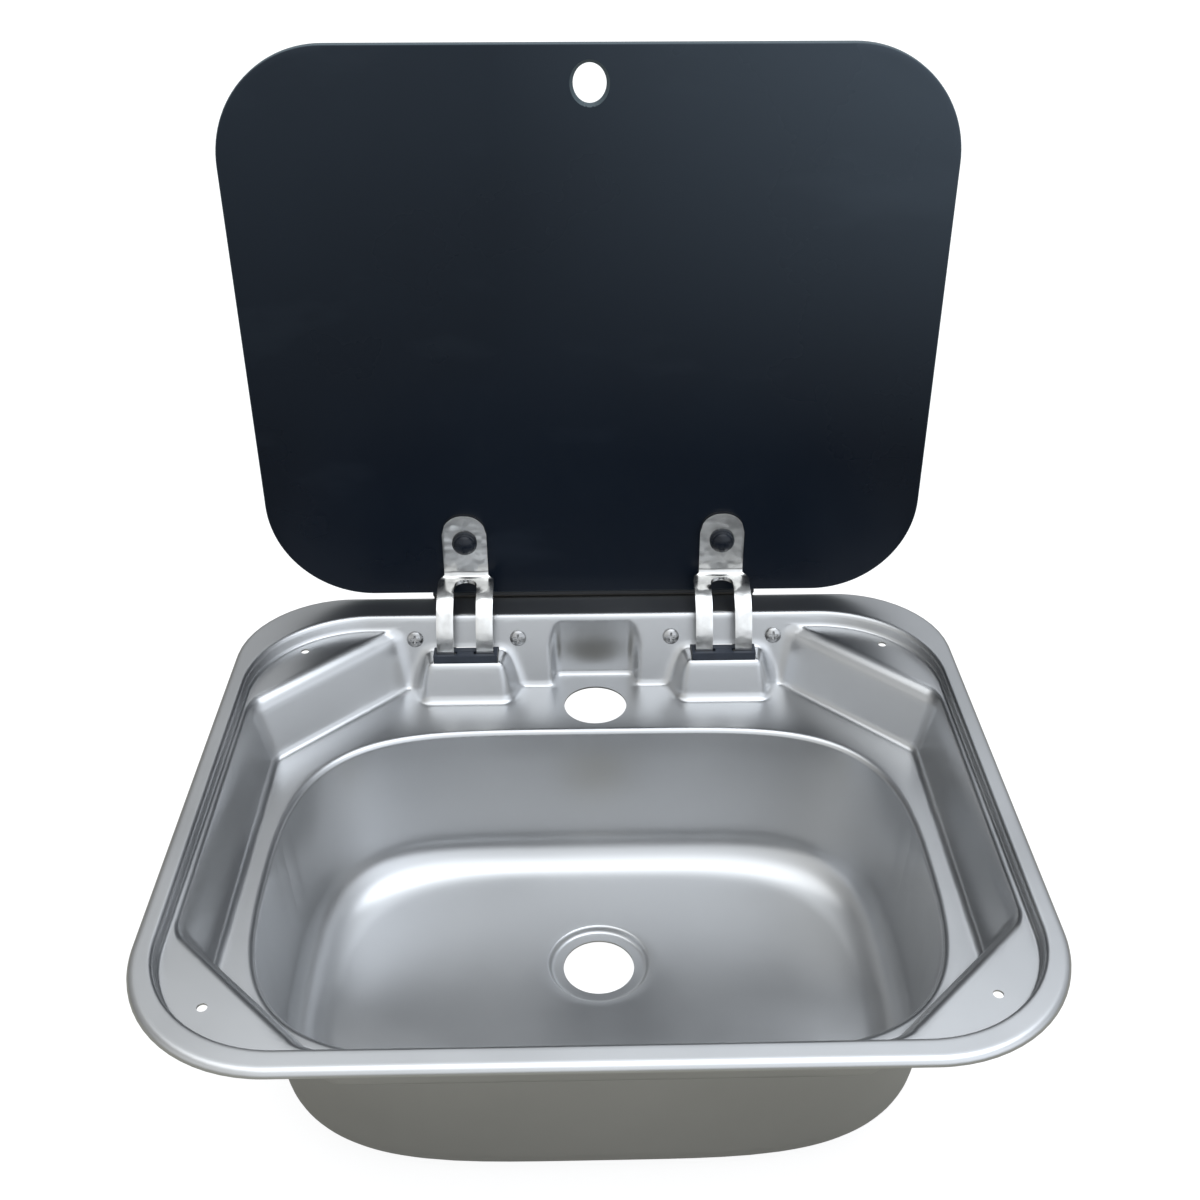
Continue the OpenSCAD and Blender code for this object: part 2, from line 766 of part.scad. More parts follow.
module cap_nut(x) {
    color([0.05, 0.05, 0.06])
    lid_open() translate([x, bolt_y, nut_z]) rotate([180, 0, 0]) difference() {
        union() {
            cylinder(r = cap_r, h = nut_side);
            intersection() {
                translate([0, 0, nut_side - eps]) cylinder(r = cap_r, h = nut_h);
                translate([0, 0, nut_h - dome_r]) sphere(r = dome_r);
            }
        }
        translate([0, 0, -1]) cylinder(r = bolt_r + 0.03, h = nut_bore + 1);
    }
}

// Wedge seal behind the glass; a circle about the pin shapes its underside
module rear_edge_seal() {
    color([0.05, 0.05, 0.06])
    lid_open() on_pin(0, seal_w / 2) difference() {
        translate([glass_rear - pin_y, glass_low_z + 0.1 - pin_z])
            square([seal_tip_y - glass_rear, seal_top - glass_low_z - 0.1]);
        circle(r = seal_clear_r, $fn = 128);
    }
}

sink_shell();
glass_lid();
hinge_arm(-hinge_x);  // hinge_arm_left
hinge_arm(hinge_x);  // hinge_arm_right
hinge_bracket(-hinge_x);  // hinge_bracket_left
hinge_bracket(hinge_x);  // hinge_bracket_right
hinge_pin(-hinge_x);  // hinge_pin_left
hinge_pin(hinge_x);  // hinge_pin_right
pin_clips(-hinge_x);  // pin_clips_left
pin_clips(hinge_x);  // pin_clips_right
spacer_bush(-hinge_x);  // spacer_bush_left
spacer_bush(hinge_x);  // spacer_bush_right
bracket_screws(-hinge_x);  // bracket_screws_left
bracket_screws(hinge_x);  // bracket_screws_right
lid_bolt(-hinge_x);  // lid_bolt_left
lid_bolt(hinge_x);  // lid_bolt_right
bolt_sleeve(-hinge_x);  // bolt_sleeve_left
bolt_sleeve(hinge_x);  // bolt_sleeve_right
tab_pad(-hinge_x);  // tab_pad_left
tab_pad(hinge_x);  // tab_pad_right
cap_nut(-hinge_x);  // cap_nut_left
cap_nut(hinge_x);  // cap_nut_right
rear_edge_seal();
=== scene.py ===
import math
import bmesh
import bpy
import numpy as np
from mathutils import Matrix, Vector


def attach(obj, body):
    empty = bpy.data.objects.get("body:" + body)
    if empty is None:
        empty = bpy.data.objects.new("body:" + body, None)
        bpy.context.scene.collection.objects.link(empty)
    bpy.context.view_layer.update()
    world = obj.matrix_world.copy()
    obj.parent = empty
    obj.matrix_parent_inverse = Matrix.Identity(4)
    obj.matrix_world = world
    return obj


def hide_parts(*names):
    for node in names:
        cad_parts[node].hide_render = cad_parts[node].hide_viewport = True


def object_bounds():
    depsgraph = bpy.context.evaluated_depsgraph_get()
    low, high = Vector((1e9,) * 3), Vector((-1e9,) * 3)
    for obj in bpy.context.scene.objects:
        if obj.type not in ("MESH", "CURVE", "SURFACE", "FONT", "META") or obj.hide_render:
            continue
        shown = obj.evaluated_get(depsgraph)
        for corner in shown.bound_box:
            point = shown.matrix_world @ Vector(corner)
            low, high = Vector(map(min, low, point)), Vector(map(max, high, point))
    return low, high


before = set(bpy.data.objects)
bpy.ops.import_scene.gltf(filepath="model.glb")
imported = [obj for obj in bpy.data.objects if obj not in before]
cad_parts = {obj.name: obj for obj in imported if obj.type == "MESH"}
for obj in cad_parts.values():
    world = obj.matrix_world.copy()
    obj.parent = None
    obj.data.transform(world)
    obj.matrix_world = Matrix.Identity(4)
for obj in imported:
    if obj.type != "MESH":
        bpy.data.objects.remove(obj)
cad_low, cad_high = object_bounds()
scene = bpy.context.scene
MM = 0.001

# Camera: place, aim and lens that the photograph was taken with
CAMERA_AT = (-5.27 * MM, -563.7 * MM, 461.5 * MM)
CAMERA_ELEVATION = math.radians(32.30)
CAMERA_TURN = math.radians(-1.26)
LENS = 42.11
SHIFT_X = -0.0097
SHIFT_Y = 0.0069
SENSOR = 36.0
CLIP_START = 0.01
CLIP_END = 50.0

# Floor: its height, the gap under the sink and its reach, in metres
GROUND_Z = cad_low.z
FLOOR_GAP = 0.0005
FLOOR_REACH = 12.0

# Floor colours: as the camera sees it, as it keeps the shadow, and as dull light meets it
FLOOR_SEEN = (0.86, 0.86, 0.86, 1.0)
FLOOR_PALE = (0.26, 0.26, 0.26, 1.0)
FLOOR_DULL = (0.27, 0.255, 0.21, 1.0)

# How much of the white background gloss sees
FLOOR_GLOSS = 0.08
SKY_GLOSS = 0.1

# Faces larger than this, in square metres, are flat
FLAT_AREA = 0.0002

# Edges sharper than this, in degrees, shade hard: on plain nodes and on new pieces
SPLIT_PLAIN = 32
SPLIT_NEW = 35


def make_camera():
    data = bpy.data.cameras.new("camera")
    data.lens = LENS
    data.sensor_width = SENSOR
    data.shift_x = SHIFT_X
    data.shift_y = SHIFT_Y
    data.clip_start = CLIP_START
    data.clip_end = CLIP_END
    camera = bpy.data.objects.new("camera", data)
    camera.location = CAMERA_AT
    flat = math.cos(CAMERA_ELEVATION)
    back = Vector((math.sin(CAMERA_TURN) * flat, -math.cos(CAMERA_TURN) * flat, math.sin(CAMERA_ELEVATION)))
    camera.rotation_euler = (-back).to_track_quat("-Z", "Y").to_euler()
    scene.collection.objects.link(camera)
    scene.camera = camera


# Hinge sizes in millimetres, as in the part's source but for the rounder tip of the tab
PIN_Y = 171.6
PIN_Z = -14.8
OPEN_ANGLE = math.radians(91)
LID_UP = (0.0, math.sin(OPEN_ANGLE), math.cos(OPEN_ANGLE))
HINGE_X = 78.2
ARM_T = 2.5
TAB_HALF = 13.4
LEG_OUT = 16.9
LEG_IN = 6.8
TAB_START = -35.7
TAB_LEN = 37.4
TAB_ROUND = 12.6
TAB_MID = 7.45
BOW_R = 30.2
BEND_R = 5.5
HEEL_R = 3.0
EYE_MID = 5.25
BOLT_U = -55.0
PAD_T = 0.8
BOLT_HOLE_R = 5.0
SCREW_GAP = 62.8
SCREW_DROP = 13.1

# Arm outline: start of the slot in degrees of the bend, widening behind the tab, hole, and edge radius
SLOT_TURN = 83
WIDEN_AT = 3.0
WIDEN_RUN = 5.5
ARM_HOLE_R = 3.2
ARM_HOLE_REACH = 5.0
ARM_EDGE = 0.8

# Bore of the cap nut, and cross recess and edge of the screws
NUT_BORE_R = 3.03
NUT_BORE_REACH = 4.8
CROSS_HALF = (2.6, 0.6)
CROSS_Z = (1.5, 4.0)
SCREW_EDGE = 0.14

# Steps of the bracket's web as half width, front, rear, low and top, and the distance of its doubles
WEB_STEPS = ((5.0, 138.0, 146.2, -24.3, -15.1), (6.4, 137.9, 148.5, -24.2, -17.2))
WELD = 0.000001

# Shut glass in millimetres, and the clearance of its seal about the pin
GLASS_HX = 196.2
GLASS_FRONT = -167.6
GLASS_REAR = 153.6
GLASS_R = 60.8
GLASS_LOW = -5.3
GLASS_TOP = -0.3
FINGER_IN = 19.5
FINGER_HALF = (8.7, 10.0)
SEAL_HALF = 100.0
SEAL_CLEAR_R = 18.65
SEAL_TIP_Y = 158.9


# Small helpers for node trees
def add(tree, kind, **settings):
    node = tree.nodes.new(kind)
    for key, value in settings.items():
        setattr(node, key, value)
    return node


# Links of a node tree, each as node, output, node and input
def wire(tree, *joins):
    for source, output, target, entry in joins:
        tree.links.new(source.outputs[output], target.inputs[entry])


def group_tree(name, inputs, outputs):
    tree = bpy.data.node_groups.new(name, "ShaderNodeTree")
    for label, kind, default in inputs:
        item = tree.interface.new_socket(label, in_out="INPUT", socket_type="NodeSocket" + kind)
        item.default_value = default
    for label, kind in outputs:
        tree.interface.new_socket(label, in_out="OUTPUT", socket_type="NodeSocket" + kind)
    return tree, add(tree, "NodeGroupInput"), add(tree, "NodeGroupOutput")


def use_group(tree, group, **values):
    node = add(tree, "ShaderNodeGroup", node_tree=group)
    for key, value in values.items():
        node.inputs[key.replace("_", " ")].default_value = value
    return node


# A value, or the socket of another node, into an input
def feed(tree, value, entry):
    if isinstance(value, bpy.types.NodeSocket):
        tree.links.new(value, entry)
    else:
        entry.default_value = value


def math_node(tree, operation, first, second):
    node = add(tree, "ShaderNodeMath", operation=operation)
    feed(tree, first, node.inputs[0])
    feed(tree, second, node.inputs[1])
    return node.outputs[0]


def mixed(tree, kind, factor, first, second, **settings):
    node = add(tree, "ShaderNodeMix", data_type=kind, **settings)
    feed(tree, factor, node.inputs["Factor"])
    feed(tree, first, node.inputs["A"])
    feed(tree, second, node.inputs["B"])
    return node.outputs["Result"]


def ranged(tree, value, before, after=(0.0, 1.0), **settings):
    node = add(tree, "ShaderNodeMapRange", **settings)
    tree.links.new(value, node.inputs["Value"])
    node.inputs["From Min"].default_value = before[0]
    node.inputs["From Max"].default_value = before[1]
    node.inputs["To Min"].default_value = after[0]
    node.inputs["To Max"].default_value = after[1]
    return node.outputs["Result"]


# Cloudy value between 0 and 1, for smudges and uneven polish
def make_clouds():
    tree, gin, gout = group_tree(
        "clouds",
        [("Scale", "Float", 20.0), ("Stretch", "Vector", (1.0, 1.0, 1.0)), ("Low", "Float", 0.35),
         ("High", "Float", 0.65)],
        [("Value", "Float")],
    )
    coords = add(tree, "ShaderNodeTexCoord")
    mapping = add(tree, "ShaderNodeVectorMath", operation="MULTIPLY")
    noise = add(tree, "ShaderNodeTexNoise")
    noise.inputs["Detail"].default_value = 5.0
    ramp = add(tree, "ShaderNodeMapRange")
    wire(
        tree,
        (coords, "Object", mapping, 0), (gin, "Stretch", mapping, 1), (mapping, 0, noise, "Vector"),
        (gin, "Scale", noise, "Scale"), (noise, "Fac", ramp, "Value"), (gin, "Low", ramp, "From Min"),
        (gin, "High", ramp, "From Max"), (ramp, "Result", gout, "Value"),
    )
    return tree


# Fine grain and slow waviness as one bent normal, on edges rounded by a radius
def make_relief(name, rounded):
    inputs = [("Grain Scale", "Float", 1500.0), ("Grain Depth", "Float", 0.00002),
              ("Wave Scale", "Float", 14.0), ("Wave Depth", "Float", 0.0002)]
    if rounded:
        inputs.append(("Edge Radius", "Float", 0.001))
    tree, gin, gout = group_tree(name, inputs, [("Normal", "Vector")])
    coords = add(tree, "ShaderNodeTexCoord")
    grain = add(tree, "ShaderNodeTexNoise")
    grain.inputs["Detail"].default_value = 3.0
    wave = add(tree, "ShaderNodeTexNoise")
    wave.inputs["Detail"].default_value = 1.0
    slow = add(tree, "ShaderNodeBump")
    fine = add(tree, "ShaderNodeBump")
    wire(
        tree,
        (coords, "Object", grain, "Vector"), (coords, "Object", wave, "Vector"),
        (gin, "Grain Scale", grain, "Scale"), (gin, "Wave Scale", wave, "Scale"),
        (gin, "Wave Depth", slow, "Distance"), (gin, "Grain Depth", fine, "Distance"),
        (wave, "Fac", slow, "Height"), (grain, "Fac", fine, "Height"),
    )
    if rounded:
        bevel = add(tree, "ShaderNodeBevel", samples=6)
        wire(
            tree,
            (gin, "Edge Radius", bevel, "Radius"), (bevel, "Normal", slow, "Normal"),
        )
    wire(
        tree,
        (slow, "Normal", fine, "Normal"), (fine, "Normal", gout, "Normal"),
    )
    return tree


CLOUDS = make_clouds()
RELIEF = make_relief("relief", False)
ROUNDED_RELIEF = make_relief("rounded_relief", True)


# A Principled material with two colours and two roughness values mixed by clouds
def surface(name, dark, light, rough, metallic, cloud, relief=None, **sockets):
    made = bpy.data.materials.new(name)
    made.use_nodes = True
    tree = made.node_tree
    bsdf = tree.nodes["Principled BSDF"]
    clouds = use_group(tree, CLOUDS, Scale=cloud).outputs["Value"]
    tone = mixed(tree, "RGBA", clouds, (*dark, 1.0), (*light, 1.0))
    tree.links.new(tone, bsdf.inputs["Base Color"])
    tree.links.new(ranged(tree, clouds, (0.0, 1.0), rough), bsdf.inputs["Roughness"])
    relief = relief or {}
    bent = use_group(tree, ROUNDED_RELIEF if "Edge_Radius" in relief else RELIEF, **relief)
    wire(tree, (bent, "Normal", bsdf, "Normal"))
    bsdf.inputs["Metallic"].default_value = metallic
    for key, value in sockets.items():
        bsdf.inputs[key.replace("_", " ")].default_value = value
    return made


SINK_STEEL = surface(
    "sink_steel", (0.555, 0.561, 0.568), (0.595, 0.601, 0.608), (0.29, 0.35), 1.0, 9.0,
    relief={"Grain_Scale": 2600.0, "Grain_Depth": 0.000003, "Wave_Scale": 9.0, "Wave_Depth": 0.0001},
)
BRIGHT_STEEL = surface(
    "bright_steel", (0.66, 0.655, 0.64), (0.78, 0.775, 0.76), (0.15, 0.27), 1.0, 90.0,
    relief={"Grain_Scale": 900.0, "Grain_Depth": 0.00001, "Wave_Scale": 130.0, "Wave_Depth": 0.0004},
)
DARK_PLASTIC = surface(
    "dark_plastic", (0.018, 0.024, 0.036), (0.03, 0.038, 0.055), (0.35, 0.5), 0.0, 90.0,
    relief={"Grain_Scale": 2500.0, "Grain_Depth": 0.00003, "Wave_Scale": 40.0, "Wave_Depth": 0.00005,
            "Edge_Radius": 0.0004},
)
PIN_STEEL = surface("pin_steel", (0.42, 0.42, 0.43), (0.55, 0.55, 0.56), (0.2, 0.35), 1.0, 80.0)
CLIP_STEEL = surface("clip_steel", (0.12, 0.12, 0.13), (0.2, 0.2, 0.21), (0.35, 0.5), 1.0, 80.0)
NATURAL_PLASTIC = surface("natural_plastic", (0.62, 0.6, 0.54), (0.72, 0.7, 0.64), (0.4, 0.5), 0.0, 80.0)
SCREW_STEEL = surface(
    "screw_steel", (0.34, 0.34, 0.34), (0.52, 0.52, 0.52), (0.22, 0.34), 1.0, 200.0,
    relief={"Grain_Scale": 1200.0, "Grain_Depth": 0.00001, "Wave_Scale": 200.0, "Wave_Depth": 0.00005,
            "Edge_Radius": 0.0004},
)
RUBBER = surface("black_rubber", (0.012, 0.013, 0.015), (0.02, 0.021, 0.023), (0.6, 0.75), 0.0, 60.0)
CAP_PLASTIC = surface(
    "cap_plastic", (0.0015, 0.004, 0.010), (0.003, 0.007, 0.015), (0.20, 0.30), 0.0, 120.0,
    relief={"Grain_Scale": 1500.0, "Grain_Depth": 0.00001, "Wave_Scale": 80.0, "Wave_Depth": 0.00005},
    Specular_IOR_Level=0.35,
)


# Glass: one lighter colour for both the painted reflection sheen and the smudges, colour of ground edges,
# roughness of those edges, and share of smudges
GLASS_SHEEN_AND_SMUDGE = (0.055, 0.072, 0.094, 1.0)
GLASS_EDGE = (0.085, 0.11, 0.125, 1.0)
GLASS_EDGE_ROUGH = 0.42
SMUDGE = 0.11

# Painted reflection sheen: heights between which it grows, and places across between which its strength grows
SHEEN_RISE = (0.09, 0.36)
SHEEN_POWER = 1.3
SHEEN_ACROSS = (-0.05, 0.24)
SHEEN_SIDES = (0.42, 1.7)


# Dark glass: a painted reflection sheen, lighter towards its top and its right side, wiped smudges, and paler
# ground edges
def make_glass():
    made = surface(
        "tinted_glass", (0.0012, 0.0042, 0.0105), (0.0018, 0.0056, 0.0128), (0.26, 0.32), 0.0, 9.0,
        relief={"Grain_Scale": 900.0, "Grain_Depth": 0.000001, "Wave_Scale": 5.0, "Wave_Depth": 0.00002},
        Specular_IOR_Level=0.2,
    )
    tree = made.node_tree
    bsdf = tree.nodes["Principled BSDF"]
    colour = bsdf.inputs["Base Color"].links[0].from_socket
    rough = bsdf.inputs["Roughness"].links[0].from_socket
    coords = add(tree, "ShaderNodeTexCoord")
    split = add(tree, "ShaderNodeSeparateXYZ")
    wire(tree, (coords, "Object", split, 0))
    # Painted reflection: the glass colour grows lighter towards its top and its right side
    height = ranged(tree, split.outputs["Z"], SHEEN_RISE)
    side = ranged(tree, split.outputs["X"], SHEEN_ACROSS, SHEEN_SIDES)
    painted_sheen = math_node(tree, "MULTIPLY", math_node(tree, "POWER", height, SHEEN_POWER), side)
    wipes = use_group(tree, CLOUDS, Scale=10.0, Stretch=(1.0, 1.0, 2.6), Low=0.60, High=0.8)
    smudge = math_node(tree, "MULTIPLY", wipes.outputs["Value"], SMUDGE)
    # Painted reflection sheen and real smudges together move the colour towards the lighter tone
    sheen_and_smudge = math_node(tree, "ADD", painted_sheen, smudge)
    sheened_tone = mixed(tree, "RGBA", sheen_and_smudge, colour, GLASS_SHEEN_AND_SMUDGE, clamp_factor=True)
    facing = add(tree, "ShaderNodeVectorMath", operation="DOT_PRODUCT")
    facing.inputs[1].default_value = LID_UP
    wire(tree, (coords, "Normal", facing, 0))
    flat = math_node(tree, "ABSOLUTE", facing.outputs["Value"], 0.0)
    ground = ranged(tree, flat, (0.97, 0.80))
    tree.links.new(mixed(tree, "RGBA", ground, sheened_tone, GLASS_EDGE), bsdf.inputs["Base Color"])
    frosted = mixed(tree, "FLOAT", ground, rough, GLASS_EDGE_ROUGH)
    tree.links.new(frosted, bsdf.inputs["Roughness"])
    return made


TINTED_GLASS = make_glass()

# Sheet steel sink: sizes in millimetres, as in the part's source
OPEN_HX = 199.4
OPEN_FRONT = -169.1
OPEN_REAR = 159.0
OPEN_R = 64.0
REAR_SLOPE = 0.357
LEDGE_Z = -8.0
SHOULDER_Z = -12.0
DECK_Z = -42.0
EDGE_ROUND = 3.5
EDGE_DROP = 3.2
LIP = 3.5
BOWL_A = 171.0
BOWL_B = 118.0
BOWL_Y = -21.0
FLOOR_Z = -140.0
FLOOR_R = 23.0
FLOOR_DISH = 1.2
WALL_DRAFT = 0.055
FRONT_DRAFT = 0.072
REAR_DRAFT = 0.005
DRAIN_Y = 8.0
SEAT_R = 28.0
SEAT_H = 4.5
DRAIN_R = 20.25
DRAIN_BRIM = 1.6
SHEET = 1.0

# Superellipse powers (across, front to rear) of the bowl at its lip, wall foot and floor edge
LIP_POWERS = (4.76, 2.92)
FOOT_POWERS = (4.4, 2.85)
FLOOR_POWERS = (3.7, 2.6)

# Holes through the sheet, and how far a cutter reaches past the middle of its hole
CORNER_HOLE_X = 172.9
CORNER_HOLE_Y = 137.3
CORNER_HOLE_MID = -2.5
SMALL_HOLE_R = 2.4
TAP_Y = 123.7
TAP_R = 18.75
SLOT_HALF = 19.6
SLOT_Y = (137.1, 154.7)
SLOT_Z = (-25.4, -17.9)
CUT_REACH = 4.0

# Flange outline: half width, front, rear, and corner radius in front and at the rear
FLANGE = (210.0, -182.5, 182.5, 73.0, 61.0)
FLANGE_REACH = 60.0

# Radii where pressed surfaces run into each other
WALLS_ROUND = 3.6
REAR_ROUND = 3.0
SHOULDER_ROUND = 1.6
LEDGE_ROUND = 1.4
RECESS_ROUND = 2.0
POCKET_ROUND = 6.0
MOUTH_ROUND = 3.0
DECK_ROUND = 3.4
BOSS_ROUND = 2.9
BOSS_FOOT_ROUND = 4.2
RIM_ROUND = 2.5

# Reach of the walls over the ledges, and the run in which their radii fade to the rear wall
WALL_OVER = 2.0
REAR_FADE = 10.0

# Tap pocket: sizes at its top, how much less they are at the deck, and where its mouth grows round
POCKET_HALF = 27.0
POCKET_REAR = 157.8
POCKET_FRONT = 100.0
POCKET_NARROW = 1.5
POCKET_SHORT = 1.3
POCKET_TOP = -2.5
MOUTH_START = 4.0
MOUTH_RUN = 14.0

# Hinge boss as lines of (value, slope, place): half widths along y, face along z
BOSS_TOP = -19.4
BOSS_HIGH_HALF = (22.9, 0.147, 133.6)
BOSS_FOOT_HALF = (25.8, 0.5175, 127.0)
BOSS_FACE = (125.9, 0.385, -45.0)

# Height under which the boss flanks widen, and the fall to their foot
BOSS_FLANK_Z = -21.9
BOSS_FLANK_FALL = 23.1

# Rays onto the steel: height of their start, first reach, share of the distance a step takes, and steps
CAST_Z = 15.0
CAST_REACH = 5.0
CAST_SHARE = 0.9
COARSE_STEPS = 40
FINE_STEPS = 110

# Rings from the bowl lip to the opening, spaced by the length and the bend in radians between them
WELL_RINGS = 64
RING_LENGTH = 9.0
RING_BEND = 0.2
RING_LEAST = 0.02

# Deck walls as lines: value at the shoulder, and run over drop below and above it
SIDE_WALL = (193.7, 0.305, 0.6)
FRONT_WALL = (160.7, 0.2, 0.75)
FRONT_CHORD = (284.6, 12 / 30, 1.6)
REAR_CHORD = (274.0, 16 / 30, 2.0)


# Largest of several distances, with the edge between them rounded by a radius
def round_max(radius, *values):
    stack = np.stack(np.broadcast_arrays(*values))
    top = stack.max(axis=0)
    lift = np.maximum(stack + radius, 0.0)
    return np.minimum(top, -radius) + np.sqrt((lift * lift).sum(axis=0))


def round_min(radius, *values):
    return -round_max(radius, *[-value for value in values])


def rect_distance(x, y, half, front, rear, r_front, r_rear):
    mid = (front + rear) / 2
    radius = np.where(y > mid, r_rear, r_front)
    qx = np.abs(x) - half + radius
    qy = np.abs(y - mid) - (rear - front) / 2 + radius
    return np.minimum(np.maximum(qx, qy), 0) + np.hypot(np.maximum(qx, 0), np.maximum(qy, 0)) - radius


def on_line(line, at):
    return line[0] + line[1] * (at - line[2])


# Distance past a deck wall; share is 1 for a wall along an axis, the root of 2 for a slanted one
def leaning(value, line, z, part, share):
    slope = line[part]
    edge = line[0] + slope * (z - SHOULDER_Z)
    run = slope / share
    return (value - edge) / share / math.sqrt(1 + run * run)


def pocket_distance(ax, y, z):
    depth = np.clip((POCKET_TOP - z) / (POCKET_TOP - DECK_Z), 0, 1)
    flank = ax - POCKET_HALF + POCKET_NARROW * depth
    rear = y - POCKET_REAR + POCKET_SHORT * depth
    return round_max(POCKET_ROUND, flank, rear, POCKET_FRONT - y)


def boss_distance(ax, y, z):
    side = np.abs(ax - HINGE_X)
    fall = np.clip((BOSS_FLANK_Z - z) / BOSS_FLANK_FALL, -0.2, 1.2)
    top_half = on_line(BOSS_HIGH_HALF, y)
    foot_half = on_line(BOSS_FOOT_HALF, y)
    half = top_half + (foot_half - top_half) * fall
    slope_y = BOSS_HIGH_HALF[1] + (BOSS_FOOT_HALF[1] - BOSS_HIGH_HALF[1]) * fall
    slope_z = (foot_half - top_half) / BOSS_FLANK_FALL
    flank = (side - half) / np.sqrt(1 + slope_y ** 2 + slope_z ** 2)
    face = (on_line(BOSS_FACE, z) - y) / math.sqrt(1 + BOSS_FACE[1] ** 2)
    return round_max(BOSS_ROUND, flank, face, z - BOSS_TOP)


# Air above the pressed sheet: negative in the air, zero on the steel
def well(x, y, z):
    ax = np.abs(x)
    root = math.sqrt(2)
    rear = (y - OPEN_REAR - REAR_SLOPE * z) / math.sqrt(1 + REAR_SLOPE ** 2)
    near_rear = np.clip(-rear / REAR_FADE, 0, 1)
    outlines = []
    for part in (1, 2):
        outline = round_max(
            WALLS_ROUND,
            leaning(ax, SIDE_WALL, z, part, 1.0),
            leaning(-y, FRONT_WALL, z, part, 1.0),
            leaning(ax - y, FRONT_CHORD, z, part, root),
            leaning(ax + y, REAR_CHORD, z, part, root),
        )
        outlines.append(round_max(REAR_ROUND, outline, rear))
    opening = rect_distance(x, y, OPEN_HX, OPEN_FRONT, OPEN_REAR + REAR_SLOPE * z, OPEN_R, OPEN_R)
    recess = round_max(RECESS_ROUND, opening, LEDGE_Z - z)
    outlines[1] = round_max(1.0, outlines[1], z - LEDGE_Z - WALL_OVER)
    air = round_min(SHOULDER_ROUND * near_rear, outlines[0], outlines[1])
    air = round_min(LEDGE_ROUND * near_rear, air, recess)
    grown = np.clip((-z - MOUTH_START) / MOUTH_RUN, 0, 1)
    air = round_min(MOUTH_ROUND * grown, air, pocket_distance(ax, y, z))
    air = round_max(DECK_ROUND, air, DECK_Z - z)
    air = round_max(BOSS_FOOT_ROUND, air, -boss_distance(ax, y, z))
    return round_min(RIM_ROUND, air, -z)


# Points where rays from a start meet the steel
def cast(start, ray, steps):
    reach = np.full(start.shape[:-1], CAST_REACH)
    for _ in range(steps):
        point = start + ray * reach[..., None]
        reach = reach - CAST_SHARE * well(point[..., 0], point[..., 1], point[..., 2])
    return start + ray * reach[..., None]


def power(value, exponent):
    return np.sign(value) * np.abs(value) ** exponent


def bowl_point(turn, a, b, lean, powers):
    x = a * power(np.cos(turn), 2 / powers[0])
    return x, BOWL_Y + lean + b * power(np.sin(turn), 2 / powers[1])


def between(first, second, share):
    return [a + (b - a) * share for a, b in zip(first, second)]


# Places from low up to, not including, high, about a step apart
def even_steps(low, high, step):
    return list(np.linspace(low, high, max(2, round((high - low) / step) + 1)))[:-1]


# Outer line of the stations, outside the opening, and marks that tie it to the bowl lip
STATIONS_OUT = 4.0
REAR_MARK = 118.0
SIDE_MARKS = (25.0, -60.0)
FRONT_MARK = 100.0


# Stations round the well: turn on the bowl lip and the matching point outside the opening
def make_stations():
    a, b = BOWL_A + LIP, BOWL_B + LIP
    dense = np.linspace(math.pi / 2, -math.pi / 2, 6001)
    lx, ly = bowl_point(dense, a, b, 0.0, LIP_POWERS)
    run = np.concatenate([[0], np.cumsum(np.hypot(np.diff(lx), np.diff(ly)))])
    ex = OPEN_HX + STATIONS_OUT
    er = OPEN_REAR + STATIONS_OUT
    ef = OPEN_FRONT - STATIONS_OUT
    radius = OPEN_R + STATIONS_OUT
    quarter = radius * math.pi / 2

    def outer(s):
        top = ex - radius
        side = er - ef - 2 * radius
        if s < top:
            return s, er
        if s < top + quarter:
            t = (s - top) / radius
            return top + radius * math.sin(t), er - radius + radius * math.cos(t)
        if s < top + quarter + side:
            return ex, er - radius - (s - top - quarter)
        if s < top + 2 * quarter + side:
            t = (s - top - quarter - side) / radius
            return top + radius * math.cos(t), ef + radius - radius * math.sin(t)
        return top - (s - top - 2 * quarter - side), ef

    length = 2 * (ex - radius) + 2 * quarter + er - ef - 2 * radius
    side_end = ex - radius + quarter + er - radius
    marks = [REAR_MARK, side_end - SIDE_MARKS[0], side_end - SIDE_MARKS[1], length - FRONT_MARK, length]

    def lip_at_y(y):
        return float(np.interp(-y, -ly, run))

    def lip_at_x(x, front):
        half = np.flatnonzero(dense < 0)[::-1] if front else np.flatnonzero(dense > 0)
        return float(np.interp(x, lx[half], run[half]))

    keys = [lip_at_x(REAR_MARK, False), lip_at_y(SIDE_MARKS[0]), lip_at_y(SIDE_MARKS[1]),
            lip_at_x(FRONT_MARK, True), float(run[-1])]
    first, second, third, fourth, last = marks
    spans = (
        (0, 20, 6), (20, 34, 1.2), (34, 52, 2), (52, 62, 1.3), (62, 94, 4), (94, first, 1.4),
        (first, first + 26, 1.8), (first + 26, second - 76, 6), (second - 76, second - 40, 2.2),
        (second - 40, second, 8), (second, third, 14), (third, third + 28, 8),
        (third + 28, third + 64, 2.2), (third + 64, fourth - 40, 6), (fourth - 40, fourth, 2.2),
        (fourth, last, 14),
    )
    outer_s = []
    for low, high, step in spans:
        outer_s += even_steps(low, high, step)
    outer_s.append(last)
    right = []
    for s in outer_s:
        if s <= REAR_MARK:
            at = lip_at_x(s, False) if s > 0 else 0.0
        else:
            at = float(np.interp(s, marks, keys))
        right.append((float(np.interp(at, run, dense)), outer(s)))
    left = [(math.pi - turn, (-point[0], point[1])) for turn, point in right[-2:0:-1]]
    stations = right + left
    turns = np.array([turn for turn, _ in stations])
    ends = np.array([point for _, point in stations])
    return turns, ends


def smooth_round(values, times):
    for _ in range(times):
        values = (np.roll(values, 1, axis=0) + 2 * values + np.roll(values, -1, axis=0)) / 4
    return values


